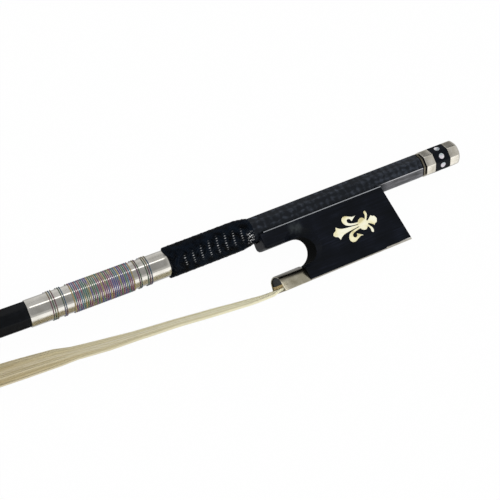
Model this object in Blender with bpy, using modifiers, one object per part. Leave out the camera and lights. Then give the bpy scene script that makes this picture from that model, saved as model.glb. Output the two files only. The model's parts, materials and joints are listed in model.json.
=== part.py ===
"""A violin bow lying on its side: a carbon stick, an ebony frog that slides on it, and the screw button.

Lengths are in metres. X runs along the handle towards the button, Y away from the hair, and Z up.
Each piece is placed in the bow's own frame, where X is 0 at the button's face, and Y and Z are 0 on the
screw's axis. Distances along the handle are measured from the button's face towards the head.
"""

import math

import bmesh
import bpy
from mathutils import Matrix, Vector

# Clearances
SEAT_GAP = 0.0001  # round a piece that is fixed in its seat
SLIDE_GAP = 0.00015  # between the stick and what slides on it

# Stick: octagonal at the handle, round further out, and bent towards the hair
STICK_FLATS = 0.0086
STICK_END = 0.00165
ROUNDING_START = 0.185
ROUNDING_END = 0.235
STICK_TIP = 0.0054
CAMBER_START = 0.070
CAMBER_RADIUS = 3.185
CAMBER_STEP = 0.024
STICK_POINTS = 16

# Head
HEAD_HEIGHT = 0.0195
HEAD_LENGTH = 0.0245
HEAD_WIDTH = 0.0102
HEAD_NECK = 0.016
HEAD_BEAK = 0.5
HEAD_STEPS = 12
LINER_THICK = 0.0005
PLATE_THICK = 0.0008
HEAD_MORTISE_START = 0.0039
HEAD_MORTISE_LENGTH = 0.0085
HEAD_MORTISE_WIDTH = 0.0064
HEAD_MORTISE_DEPTH = 0.0086

# Leather, foil and thread round the handle
LEATHER_GAP = 0.0013  # between the frog's nose and the leather
LEATHER_LENGTH = 0.0319
LEATHER_THICK = 0.0012
LEATHER_TAPER = 0.0065
LEATHER_ROUNDING = 0.55
LAPPING_LENGTH = 0.0493
LAPPING_THICK = 0.00026
BAND_PLACE = 0.0132  # from the foil's start, as for the accents
BAND_LENGTH = 0.0215
BAND_TURNS = 18
BAND_THREAD = 0.0006
ACCENT_THREAD = 0.00032
ACCENT_PITCH = 0.00075
ACCENT_PLACES = (0.0078, 0.0112, 0.03755, 0.04105)
ACCENT_TURNS = (3, 2, 2, 3)
LOOP_POINTS = 24

# Frog
FROG_LENGTH = 0.05165
HEEL_GAP = 0.01815
HEEL_LEAN = 0.00275
FROG_TOP = 0.00256
FROG_BOTTOM = 0.0239
FROG_TOP_WIDTH = 0.01034
FROG_BOTTOM_WIDTH = 0.01356
NOSE_REACH = 0.0005
NOSE_ROUNDING = 0.0016
NOSE_SETBACK = 0.0015
# Distance behind the nose, and how full the thumb part is there
NOSE_FULLNESS = ((0.0, 0.80), (0.0002, 0.90), (0.0007, 0.97), (0.0015, 1.0))
THROAT_RADIUS = 0.005
THROAT_DROP = 0.0132
THROAT_BEHIND_FERRULE = 0.0021
SCOOP_DROP = 0.0116
SCOOP_START = 0.0029
SCOOP_END = 0.0073
SCOOP_RADIUS = 0.0086
SCOOP_FLARE = 1.07
FERRULE_LENGTH = 0.0101
FERRULE_WALL = 0.00045
FERRULE_SHOULDER = 0.00445
FERRULE_SHOULDER_WIDTH = 0.0104
FROG_LINER_THICK = 0.00035
LINER_LIP = 0.0003
HEEL_PLATE_THICK = 0.0007
HEEL_PLATE_LENGTH = 0.0105
UNDERSLIDE_THICK = 0.0004
PEARL_THICK = 0.0005
PEARL_WIDTH = 0.0090
SLIDE_BORDER = 0.0009
PIN_DIAMETER = 0.0011
PIN_LENGTH = 0.0028

# Inlay and pearl
INLAY_THICK = 0.0008
INLAY_DROP = 0.01235
INLAY_END = 0.02745
PROUD = 0.00002

# Hair
HAIR_REACH = 0.634
HAIR_THICK = 0.00085
HAIR_WIDTH = 0.0108
HAIR_HEAD_WIDTH = 0.0056
HAIR_SAG = 0.0019
HAIR_STEPS = 40
HAIR_LIFT = 0.00105
# Share of the free hair from the ferrule, the height of the loose ribbon there, and how far its middle drops
HAIR_LIE = ((0.0, 0.0009, 0.0), (0.008, 0.0023, 0.0008), (0.02, 0.0030, 0.0009), (0.04, 0.0035, 0.0007),
            (0.06, 0.0036, 0.0005), (0.08, 0.0040, 0.00065), (0.1, 0.0050, 0.00065), (0.115, 0.0054, 0.0003),
            (0.126, 0.0069, 0.0001), (0.142, 0.0076, 0.0002), (0.16, 0.0080, 0.00035), (0.25, 0.0078, 0.0005),
            (0.5, 0.0056, 0.0003), (0.85, 0.0030, 0.0001), (1.0, 0.0009, 0.0))
FROG_MORTISE_START = 0.0375
FROG_MORTISE_LENGTH = 0.0090
FROG_MORTISE_WIDTH = 0.0080
FROG_MORTISE_DEPTH = 0.0067
KNOT_LENGTH = 0.0024
WEDGE_LENGTH = 0.0070
WEDGE_THICK = 0.0010

# Screw, eyelet and button
SCREW_DIAMETER = 0.0033
SCREW_LENGTH = 0.0620
SCREW_IN_BUTTON = 0.0088
BORE_CLEARANCE = 0.0003
EYELET_PLACE = 0.0475
EYELET_LENGTH = 0.0052
EYELET_WIDTH = 0.0050
EYELET_SHANK = 0.0034
EYELET_SHANK_DEPTH = 0.0115
EYELET_ROOM = 0.0005
FROG_TRAVEL = 0.0056
BUTTON_FLATS = 0.00897
FRONT_RING = 0.00383
CORE_LENGTH = 0.00643
REAR_RING = 0.00456
RING_EDGE = 0.00012
REAR_EDGE = 0.0007
REAR_END_DIAMETER = 0.0080
NECK_DIAMETER = 0.0072
COLLAR_FLATS = 0.0084
COLLAR_LENGTH = 0.00065
COLLAR_GROOVE = 0.0006
DOT_DIAMETER = 0.0025
DOT_THICK = 0.0008
EYE_DIAMETER = 0.0050
EYE_THICK = 0.0007

# Colour, roughness and metallic value of each finish
FINISHES = {
    "carbon": ((0.012, 0.013, 0.016), 0.35, 0.0),
    "leather": ((0.008, 0.008, 0.010), 0.32, 0.0),
    "foil": ((0.62, 0.62, 0.63), 0.30, 1.0),
    "thread": ((0.18, 0.10, 0.28), 0.45, 0.0),
    "ebony": ((0.010, 0.011, 0.015), 0.40, 0.0),
    "nickel_silver": ((0.56, 0.53, 0.46), 0.34, 1.0),
    "steel": ((0.45, 0.45, 0.46), 0.35, 1.0),
    "brass": ((0.70, 0.50, 0.20), 0.35, 1.0),
    "gold_pearl": ((0.80, 0.74, 0.50), 0.30, 0.0),
    "pearl": ((0.72, 0.73, 0.76), 0.28, 0.0),
    "maple": ((0.52, 0.36, 0.20), 0.60, 0.0),
    "fibre": ((0.015, 0.015, 0.016), 0.55, 0.0),
    "bone": ((0.82, 0.79, 0.70), 0.40, 0.0),
    "horsehair": ((0.74, 0.68, 0.52), 0.50, 0.0),
}

# Places that the sizes above give, in the bow's frame
STICK_HALF = STICK_FLATS / 2
HEEL_X = -HEEL_GAP
MOUTH_X = -(HEEL_GAP + FROG_LENGTH)
FERRULE_BACK_X = MOUTH_X + FERRULE_LENGTH
THROAT_X = FERRULE_BACK_X + THROAT_BEHIND_FERRULE
NOSE_X = MOUTH_X - NOSE_REACH
LEATHER_START = -NOSE_X + LEATHER_GAP
LAPPING_START = LEATHER_START + LEATHER_LENGTH + SEAT_GAP
EYELET_X = -EYELET_PLACE
EYELET_BASE = math.sqrt(2) * STICK_HALF - EYELET_WIDTH / 2 - 2 * SEAT_GAP
SHEET_OUT = SLIDE_GAP + FROG_LINER_THICK
CHANNEL_OUT = SHEET_OUT + SEAT_GAP
HEEL_PLATE_X = HEEL_X - HEEL_PLATE_LENGTH
HAIR_Y = -FROG_BOTTOM + HAIR_LIFT
HEAD_X = MOUTH_X - HAIR_REACH
CORE_X = FRONT_RING + SEAT_GAP
CORE_END_X = CORE_X + CORE_LENGTH - 2 * SEAT_GAP
REAR_X = CORE_END_X + SEAT_GAP
BUTTON_END_X = REAR_X + REAR_RING
BORE_DIAMETER = SCREW_DIAMETER + 2 * BORE_CLEARANCE
HAIR_BEND = 0.0016
HEAD_FACE = LINER_THICK + PLATE_THICK + 3 * SEAT_GAP

TAU = 2 * math.pi


def clear_scene():
    for old in list(bpy.data.objects):
        bpy.data.objects.remove(old, do_unlink=True)


def new_collection(name):
    made = bpy.data.collections.new(name)
    bpy.context.scene.collection.children.link(made)
    return made


def new_frame(name, parts, parent=None):
    """An empty that carries the pieces of one body."""
    frame = bpy.data.objects.new(name, None)
    parts.objects.link(frame)
    frame.parent = parent
    return frame


clear_scene()
PARTS = new_collection("violin_bow")
CUTTERS = new_collection("cutters")
BOW = new_frame("bow_frame", PARTS)
STICK = new_frame("stick_frame", PARTS, BOW)
FROG = new_frame("frog_frame", PARTS, BOW)
BUTTON = new_frame("button_frame", PARTS, BOW)


def finish_material(name, finish):
    colour, roughness, metallic = FINISHES[finish]
    made = bpy.data.materials.new(name + "_" + finish)
    made.use_nodes = True
    shader = made.node_tree.nodes["Principled BSDF"]
    shader.inputs["Base Color"].default_value = (*colour, 1.0)
    shader.inputs["Roughness"].default_value = roughness
    shader.inputs["Metallic"].default_value = metallic
    made.diffuse_color = (*colour, 1.0)
    return made


def add_part(name, mesh, finish, frame, place=(0, 0, 0), turn=(0, 0, 0), smooth=True):
    part = bpy.data.objects.new(name, mesh)
    PARTS.objects.link(part)
    part.parent = frame
    part.location = place
    part.rotation_euler = turn
    mesh.materials.append(finish_material(name, finish))
    if smooth:
        mesh.shade_smooth()
        mesh.set_sharp_from_angle(angle=math.radians(35))
    return part


def add_cutter(name, mesh, frame, place=(0, 0, 0), turn=(0, 0, 0)):
    cutter = bpy.data.objects.new(name, mesh)
    CUTTERS.objects.link(cutter)
    cutter.parent = frame
    cutter.location = place
    cutter.rotation_euler = turn
    cutter.hide_render = True
    cutter.display_type = "WIRE"
    return cutter


def combine(part, cutter, operation="DIFFERENCE"):
    step = part.modifiers.new(cutter.name, "BOOLEAN")
    step.operation = operation
    step.solver = "EXACT"
    step.object = cutter


def mesh_from(bm, name):
    bmesh.ops.recalc_face_normals(bm, faces=bm.faces[:])
    mesh = bpy.data.meshes.new(name)
    bm.to_mesh(mesh)
    bm.free()
    return mesh


def box_mesh(name, length, height, width):
    bm = bmesh.new()
    bmesh.ops.create_cube(bm, size=1, matrix=Matrix.Diagonal((length, height, width, 1)))
    return mesh_from(bm, name)


def cylinder_mesh(name, radius, length, axis="Z", sides=32, end_radius=None):
    """A round or many-sided bar, centred on the origin, with a side facing each way."""
    turn = {
        "X": Matrix.Rotation(math.pi / 2, 4, "Y"),
        "Y": Matrix.Rotation(-math.pi / 2, 4, "X"),
        "Z": Matrix.Identity(4),
    }[axis]
    bm = bmesh.new()
    bmesh.ops.create_cone(
        bm,
        cap_ends=True,
        segments=sides,
        radius1=radius,
        radius2=radius if end_radius is None else end_radius,
        depth=length,
        matrix=turn @ Matrix.Rotation(math.pi / sides, 4, "Z"),
    )
    return mesh_from(bm, name)


def octagon_mesh(name, flats, length):
    return cylinder_mesh(name, flats / 2 / math.cos(math.pi / 8), length, "X", 8)


def arc(centre_x, centre_y, radius, start, end, steps):
    """Points of an arc between two angles in degrees, ends included."""
    angles = [math.radians(start + (end - start) * i / steps) for i in range(steps + 1)]
    return [(centre_x + radius * math.cos(a), centre_y + radius * math.sin(a)) for a in angles]


def curve_to_mesh(name, curve):
    """The curve's evaluated shape as one welded mesh."""
    holder = bpy.data.objects.new(name, curve)
    bpy.context.scene.collection.objects.link(holder)
    graph = bpy.context.evaluated_depsgraph_get()
    mesh = bpy.data.meshes.new_from_object(holder.evaluated_get(graph))
    mesh.name = name
    bpy.data.objects.remove(holder, do_unlink=True)
    bpy.data.curves.remove(curve)
    bm = bmesh.new()
    bm.from_mesh(mesh)
    bmesh.ops.remove_doubles(bm, verts=bm.verts[:], dist=1e-7)
    bmesh.ops.recalc_face_normals(bm, faces=bm.faces[:])
    bm.to_mesh(mesh)
    bm.free()
    mesh.materials.clear()
    return mesh


def outline_mesh(name, points, depth):
    """A flat outline in X and Y, made a solid that is as deep as depth along Z."""
    curve = bpy.data.curves.new(name, "CURVE")
    curve.dimensions = "2D"
    curve.fill_mode = "BOTH"
    curve.extrude = depth / 2
    spline = curve.splines.new("POLY")
    spline.points.add(len(points) - 1)
    for point, (x, y) in zip(spline.points, points):
        point.co = (x, y, 0, 1)
    spline.use_cyclic_u = True
    return curve_to_mesh(name, curve)


def tube_mesh(name, points, radius):
    curve = bpy.data.curves.new(name, "CURVE")
    curve.dimensions = "3D"
    curve.bevel_depth = radius
    curve.bevel_resolution = 1
    curve.use_fill_caps = True
    spline = curve.splines.new("POLY")
    spline.points.add(len(points) - 1)
    for point, place in zip(spline.points, points):
        point.co = (*place, 1)
    return curve_to_mesh(name, curve)


def loft_mesh(name, loops, ring=False):
    """A skin over loops of as many points each. A ring joins the last loop to the first."""
    bm = bmesh.new()
    rows = [[bm.verts.new(point) for point in loop] for loop in loops]
    pairs = list(zip(rows, rows[1:]))
    if ring:
        pairs.append((rows[-1], rows[0]))
    for low, high in pairs:
        for i in range(len(low)):
            j = (i + 1) % len(low)
            bm.faces.new((low[i], low[j], high[j], high[i]))
    if not ring:
        bm.faces.new(rows[0])
        bm.faces.new(rows[-1][::-1])
    return mesh_from(bm, name)


def along_x(name, outline, length):
    """A cross-section given as (Z, Y) points, run along X and centred on the origin."""
    mesh = outline_mesh(name, outline, length)
    mesh.transform(Matrix.Rotation(math.pi / 2, 4, "Y"))
    return mesh


def octagon_radius(angle, half):
    return half / math.cos((angle + math.pi / 8) % (math.pi / 4) - math.pi / 8)


def camber(x):
    """Height of the stick's axis and its slope at x."""
    out = max(0.0, -CAMBER_START - x)
    fall = math.sqrt(CAMBER_RADIUS ** 2 - out ** 2)
    return CAMBER_RADIUS - fall, math.atan2(out, fall)


def stick_half(x):
    """Half the stick's width at x, and how round it is there, from 0 to 1."""
    out = -x - ROUNDING_START
    reach = -HEAD_X - ROUNDING_START
    share = min(max(out / reach, 0.0), 1.0)
    roundness = min(max(out / (ROUNDING_END - ROUNDING_START), 0.0), 1.0)
    return STICK_HALF + (STICK_TIP - STICK_FLATS) / 2 * share, roundness


def stick_loop(x, half, roundness, count=STICK_POINTS):
    """A section square to the stick's axis."""
    height, slope = camber(x)
    loop = []
    for i in range(count):
        angle = TAU * i / count
        radius = (1 - roundness) * octagon_radius(angle, half) + roundness * half
        up = radius * math.cos(angle)
        loop.append((x + up * math.sin(slope), height + up * math.cos(slope), radius * math.sin(angle)))
    return loop


HEAD_FOOT = Vector((HEAD_X, camber(HEAD_X)[0] - HEAD_HEIGHT, 0))
HAIR_ANGLE = math.atan2(HEAD_FOOT.y - HAIR_Y, HAIR_REACH)
TO_TIP = Vector((-math.cos(HAIR_ANGLE), math.sin(HAIR_ANGLE), 0))
FROM_HAIR = Vector((math.sin(HAIR_ANGLE), math.cos(HAIR_ANGLE), 0))


def head_point(forward, up, side=0.0):
    """A place in the head, from the back corner of its hair face."""
    return HEAD_FOOT + TO_TIP * forward + FROM_HAIR * up + Vector((0, 0, side))


def bezier(points, share):
    a, b, c, d = (Vector(point) for point in points)
    rest = 1 - share
    return a * rest ** 3 + b * 3 * rest ** 2 * share + c * 3 * rest * share ** 2 + d * share ** 3


def neck_ends():
    """Where the stick meets the head: its axis there as (forward, up), and half its width."""
    x = HEAD_FOOT.x + HEAD_NECK * math.cos(HAIR_ANGLE)
    axis = Vector((x, camber(x)[0], 0)) - HEAD_FOOT
    return Vector((axis.dot(TO_TIP), axis.dot(FROM_HAIR))), stick_half(x)[0], camber(x)[1] - HAIR_ANGLE, x


def head_loop(share):
    """A section that turns from square to the stick, at 0, to the hair face, at 1."""
    axis, half, lean, _ = neck_ends()
    across = Vector((-math.sin(lean), math.cos(lean)))
    ahead = Vector((math.cos(lean), math.sin(lean)))
    back = axis - across * half
    front = axis + across * half
    inner = (back, back + ahead * 0.72 * HEAD_NECK, Vector((-0.0003, 0.47 * HEAD_HEIGHT)), Vector((0, 0)))
    tip = Vector((HEAD_LENGTH, 0))
    outer = (front, front + ahead * 1.12 * HEAD_NECK, Vector((0.7 * HEAD_LENGTH, 1.13 * HEAD_HEIGHT)), tip)
    low = bezier(inner, share)
    high = bezier(outer, share)
    ease = share * share * (3 - 2 * share)
    width = 2 * half + (HEAD_WIDTH - 2 * half) * ease
    power = 2 / (2 + 2.2 * ease)
    loop = []
    for i in range(STICK_POINTS):
        angle = TAU * i / STICK_POINTS
        along = math.copysign(abs(math.cos(angle)) ** power, math.cos(angle))
        side = math.copysign(abs(math.sin(angle)) ** power, math.sin(angle))
        side *= 1 - HEAD_BEAK * ease * ((1 + along) / 2) ** 2
        middle = (low + high) / 2 + (high - low) / 2 * along
        loop.append(head_point(middle.x, middle.y, side * width / 2))
    return loop


def make_stick():
    """The stick with its head, and the bore, slot and mortise cut in it."""
    neck_x = neck_ends()[3]
    count = round((-CAMBER_START - neck_x) / CAMBER_STEP)
    places = [-STICK_END, -CAMBER_START]
    places += [-CAMBER_START + (neck_x + CAMBER_START) * i / count for i in range(1, count)]
    loops = [stick_loop(x, *stick_half(x)) for x in places]
    loops += [head_loop(i / HEAD_STEPS) for i in range(HEAD_STEPS + 1)]
    stick = add_part("stick", loft_mesh("stick", loops), "carbon", STICK)

    bore_length = SCREW_LENGTH + 2 * EYELET_ROOM
    bore = cylinder_mesh("screw_bore", BORE_DIAMETER / 2, bore_length, "X", 24)
    combine(stick, add_cutter("screw_bore", bore, STICK, (-bore_length / 2, 0, 0)))

    slot_length = EYELET_LENGTH + FROG_TRAVEL + 2 * EYELET_ROOM
    slot_top = EYELET_WIDTH / 2 + EYELET_ROOM
    slot_height = slot_top + STICK_FLATS
    slot = box_mesh("eyelet_slot", slot_length, slot_height, EYELET_WIDTH + 2 * SEAT_GAP + 2 * SLIDE_GAP)
    slot_x = EYELET_X + FROG_TRAVEL / 2
    combine(stick, add_cutter("eyelet_slot", slot, STICK, (slot_x, slot_top - slot_height / 2, 0)))
    combine(stick, head_mortise_cutter("head_mortise"))
    return stick


def head_mortise_cutter(name):
    depth = HEAD_MORTISE_DEPTH + 2 * HEAD_FACE
    mesh = box_mesh(name, HEAD_MORTISE_LENGTH, depth, HEAD_MORTISE_WIDTH)
    middle = HEAD_MORTISE_START + HEAD_MORTISE_LENGTH / 2
    place = head_point(middle, HEAD_MORTISE_DEPTH - depth / 2)
    return add_cutter(name, mesh, STICK, place, (0, 0, -HAIR_ANGLE))


def make_head_faces():
    """The black liner and the white plate on the head's hair face, both open at the mortise."""
    faces = (("head_liner", "fibre", SEAT_GAP, LINER_THICK),
             ("head_plate", "bone", 2 * SEAT_GAP + LINER_THICK, PLATE_THICK))
    for name, finish, drop, thick in faces:
        loops = [[point - FROM_HAIR * (drop + far) for point in head_loop(1.0)] for far in (0, thick)]
        face = add_part(name, loft_mesh(name, loops), finish, STICK)
        combine(face, head_mortise_cutter(name + "_window"))


def head_block(name, finish, start, end, low, high, width):
    """A block in the head's mortise, between two places forward and two heights."""
    mesh = box_mesh(name, end - start, high - low, width)
    place = head_point((start + end) / 2, (low + high) / 2)
    return add_part(name, mesh, finish, STICK, place, (0, 0, -HAIR_ANGLE), smooth=False)


def make_head_hair():
    bend = hair_bend_place()
    block_width = HEAD_MORTISE_WIDTH - 2 * SEAT_GAP
    mortise_end = HEAD_MORTISE_START + HEAD_MORTISE_LENGTH - SEAT_GAP
    split = HEAD_MORTISE_DEPTH / 2 + SEAT_GAP
    knot_start = HEAD_MORTISE_START + SEAT_GAP
    knot_end = bend + HAIR_THICK + KNOT_LENGTH
    head_block("head_hair_knot", "horsehair", knot_start, knot_end, split,
               HEAD_MORTISE_DEPTH - SEAT_GAP, block_width)
    head_block("head_mortise_plug", "maple", bend + HAIR_THICK / 2 + SEAT_GAP, mortise_end,
               -HEAD_FACE + 3 * SEAT_GAP, split - SEAT_GAP, block_width)


def hair_bend_place():
    """How far forward in the mortise the hair stands when it has turned in."""
    return HEAD_MORTISE_START + HAIR_BEND - SEAT_GAP * 2


def sleeve(name, finish, stations, inside):
    """A tube round the stick: stations are (distance, half width, roundness) of its outer skin."""
    outer = [stick_loop(-d, half, roundness) for d, half, roundness in stations]
    inner = [stick_loop(-d, inside, 0.0) for d, _, _ in reversed(stations)]
    return add_part(name, loft_mesh(name, outer + inner, ring=True), finish, STICK)


def make_handle_wraps():
    """Leather next to the frog, and the foil beyond it."""
    inside = STICK_HALF + SEAT_GAP
    full = STICK_HALF + LEATHER_THICK
    thin = STICK_HALF + LEATHER_THICK / 3
    end = LEATHER_START + LEATHER_LENGTH
    edge = LEATHER_THICK / 2
    stations = [(LEATHER_START, thin, LEATHER_ROUNDING)]
    for i in range(1, 4):
        ease = math.sin(math.pi / 2 * i / 4)
        stations.append((LEATHER_START + LEATHER_TAPER * i / 4, thin + (full - thin) * ease, LEATHER_ROUNDING))
    stations.append((LEATHER_START + LEATHER_TAPER, full, LEATHER_ROUNDING))
    stations.append((end - edge, full, LEATHER_ROUNDING))
    stations.append((end, full - edge, LEATHER_ROUNDING))
    sleeve("leather_grip", "leather", stations, inside)

    foil = STICK_HALF + LAPPING_THICK + SEAT_GAP
    count = 4
    stations = [(LAPPING_START + LAPPING_LENGTH * i / count, foil, 0.0) for i in range(count + 1)]
    sleeve("lapping_sleeve", "foil", stations, inside)
    return foil


def winding_points(start, turns, pitch, half):
    """An unbroken winding that follows the octagon, with straight ends."""
    points = []
    for i in range(turns * LOOP_POINTS + 1):
        angle = TAU * (i + 0.5) / LOOP_POINTS
        x = -(start + pitch * i / LOOP_POINTS)
        height, slope = camber(x)
        radius = octagon_radius(angle, half)
        up = radius * math.cos(angle)
        points.append(Vector((x + up * math.sin(slope), height + up * math.cos(slope), radius * math.sin(angle))))
    return points


def with_straight_ends(points, length):
    first = points[0] + (points[0] - points[1]).normalized() * length
    last = points[-1] + (points[-1] - points[-2]).normalized() * length
    return [first] + points + [last]


def least_gap(points, diameter):
    """The least distance between neighbouring turns of a winding, less its thread."""
    pairs = zip(points, points[LOOP_POINTS - 1:])
    near = min((a - b).length for a, b in pairs)
    pairs = zip(points, points[LOOP_POINTS:])
    return min(near, min((a - b).length for a, b in pairs)) - diameter


def make_windings(foil):
    """The coloured thread over the foil: a dense band, and thin groups on each side of it."""
    windings = [("lapping_thread", BAND_PLACE, BAND_TURNS, BAND_LENGTH / BAND_TURNS, BAND_THREAD)]
    for number, (place, turns) in enumerate(zip(ACCENT_PLACES, ACCENT_TURNS), start=1):
        windings.append((f"accent_thread_{number}", place - turns * ACCENT_PITCH / 2, turns, ACCENT_PITCH,
                         ACCENT_THREAD))
    for name, place, turns, pitch, thread in windings:
        points = winding_points(LAPPING_START + place, turns, pitch, foil + SEAT_GAP + thread / 2)
        print(name, "least gap between turns:", round(1000 * least_gap(points, thread), 3), "mm")
        mesh = tube_mesh(name, with_straight_ends(points, thread), thread / 2)
        add_part(name, mesh, "thread", STICK)


def cheek(y):
    """Half the frog's width at height y."""
    slope = (FROG_BOTTOM_WIDTH - FROG_TOP_WIDTH) / 2 / (FROG_BOTTOM - FROG_TOP)
    return FROG_TOP_WIDTH / 2 + (-FROG_TOP - y) * slope


CHEEK_ANGLE = math.atan2(cheek(-1.0) - cheek(0.0), 1.0)


def ferrule_section(inset, floor=None):
    """The D of the ferrule, or of what fits in it when inset and above a floor, as (Z, Y) points."""
    bottom = -FROG_BOTTOM + inset
    shoulder_y = -FROG_BOTTOM + FERRULE_SHOULDER - inset * 0.4
    shoulder = FERRULE_SHOULDER_WIDTH / 2 - inset
    crown = THROAT_CROWN - inset
    rise = crown - shoulder_y
    radius = (shoulder ** 2 + rise ** 2) / (2 * rise)
    reach = math.degrees(math.asin(shoulder / radius))
    corner = FROG_BOTTOM_WIDTH / 2 - inset * 1.1
    if floor is not None:
        corner += (shoulder - corner) * (floor - bottom) / (shoulder_y - bottom)
        bottom = floor
    arch = arc(0, crown - radius, radius, 90 - reach, 90 + reach, 14)
    return [(corner, bottom)] + arch + [(-corner, bottom)]


THROAT_FLOOR = -THROAT_DROP - THROAT_RADIUS
THROAT_CROWN = THROAT_FLOOR + FERRULE_WALL - SEAT_GAP / 2
UNDERSIDE = -FROG_BOTTOM + UNDERSLIDE_THICK + SEAT_GAP
HEEL_STEP = -FROG_BOTTOM + HEEL_PLATE_THICK + SEAT_GAP


def make_frog_body():
    """The ebony block: a cheeked body behind the throat, the thumb part over it and a tongue in the ferrule."""
    front = FERRULE_BACK_X + SEAT_GAP
    step_x = HEEL_PLATE_X - SEAT_GAP
    heel_top = HEEL_X - HEEL_LEAN
    throat = arc(THROAT_X, -THROAT_DROP, THROAT_RADIUS, 90, -90, 16)
    outline = [(HEEL_X, HEEL_STEP), (heel_top, -FROG_TOP), (THROAT_X, -FROG_TOP)] + throat
    outline += [(front, THROAT_FLOOR), (front, UNDERSIDE), (step_x, UNDERSIDE), (step_x, HEEL_STEP)]
    frog = add_part("frog_body", outline_mesh("frog_body", outline, 2 * FROG_BOTTOM_WIDTH), "ebony", FROG)

    section = [(cheek(-FROG_TOP), -FROG_TOP), (cheek(-FROG_BOTTOM), -FROG_BOTTOM)]
    section += [(-width, y) for width, y in reversed(section)]
    cheeks = along_x("frog_cheeks", section, 2 * FROG_LENGTH)
    combine(frog, add_cutter("frog_cheeks", cheeks, FROG, (THROAT_X, 0, 0)), "INTERSECT")

    nose_bottom = -THROAT_DROP + THROAT_RADIUS
    corner = cheek(nose_bottom) - NOSE_ROUNDING
    round_side = arc(corner, nose_bottom + NOSE_ROUNDING, NOSE_ROUNDING, 0, -90, 5)
    half = [(cheek(-FROG_TOP), -FROG_TOP)] + round_side
    section = half + [(-width, y) for width, y in reversed(half)]
    ends = [(NOSE_X + far, full) for far, full in NOSE_FULLNESS] + [(THROAT_X + THROAT_RADIUS / 2, 1.0)]
    loops = [[(x, -FROG_TOP + (y + FROG_TOP) * full, z * full) for z, y in section] for x, full in ends]
    combine(frog, add_cutter("frog_thumb", loft_mesh("frog_thumb", loops), FROG), "UNION")

    section = ferrule_section(FERRULE_WALL + SEAT_GAP, TONGUE_FLOOR)
    tongue_length = FERRULE_LENGTH
    tongue = along_x("frog_tongue", section, tongue_length)
    tongue_x = MOUTH_X + FERRULE_WALL + tongue_length / 2
    combine(frog, add_cutter("frog_tongue", tongue, FROG, (tongue_x, 0, 0)), "UNION")

    channel = octagon_mesh("stick_channel", STICK_FLATS + 2 * CHANNEL_OUT, 2 * FROG_LENGTH)
    combine(frog, add_cutter("stick_channel", channel, FROG, (THROAT_X, 0, 0)))
    cut_scoops(frog)
    cut_hair_room(frog)
    return frog


TONGUE_FLOOR = HAIR_Y + HAIR_THICK / 2 + WEDGE_THICK + 2 * SEAT_GAP


def cut_scoops(frog):
    """The dished edges of the throat, one on each cheek."""
    depth = SCOOP_END - SCOOP_START
    small = SCOOP_RADIUS - depth * SCOOP_FLARE
    for side, name in ((1, "scoop_near"), (-1, "scoop_far")):
        mesh = cylinder_mesh(name, small, depth, "Z", 40, SCOOP_RADIUS)
        turn = (0 if side > 0 else math.pi, 0, 0)
        place = (THROAT_X - SLIDE_GAP, -SCOOP_DROP, side * (SCOOP_START + depth / 2))
        combine(frog, add_cutter(name, mesh, FROG, place, turn))


def cut_hair_room(frog):
    """The mortise for the knot, the hair's channel to the ferrule, the slide's seat and the shank's hole."""
    depth = FROG_MORTISE_DEPTH + HEEL_PLATE_THICK
    middle = -FROG_MORTISE_START - FROG_MORTISE_LENGTH / 2
    mortise = box_mesh("frog_mortise", FROG_MORTISE_LENGTH, depth, FROG_MORTISE_WIDTH)
    combine(frog, add_cutter("frog_mortise", mortise, FROG, (middle, -FROG_BOTTOM + depth / 2, 0)))

    channel_top = HAIR_Y + HAIR_THICK / 2 + 3 * SEAT_GAP
    height = 2 * (channel_top + FROG_BOTTOM)
    end = -FROG_MORTISE_START - FROG_MORTISE_LENGTH / 2
    start = FERRULE_BACK_X - SEAT_GAP
    channel = box_mesh("hair_channel", end - start, height, HAIR_WIDTH + 4 * SEAT_GAP)
    combine(frog, add_cutter("hair_channel", channel, FROG, ((start + end) / 2, channel_top - height / 2, 0)))

    low, high = pearl_ends()
    seat_top = -FROG_BOTTOM + PEARL_THICK + SEAT_GAP
    height = 2 * PEARL_THICK
    seat = box_mesh("pearl_seat", high - low + 2 * SEAT_GAP, height, PEARL_WIDTH + 2 * SEAT_GAP)
    combine(frog, add_cutter("pearl_seat", seat, FROG, ((low + high) / 2, seat_top - height / 2, 0)))

    hole = cylinder_mesh("shank_hole", EYELET_SHANK / 2 + SEAT_GAP, 2 * EYELET_SHANK_DEPTH, "Y", 24)
    combine(frog, add_cutter("shank_hole", hole, FROG, (EYELET_X, -SEAT_GAP, 0)))


def pearl_ends():
    return FERRULE_BACK_X + SLIDE_BORDER, HEEL_PLATE_X - SLIDE_BORDER


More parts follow.
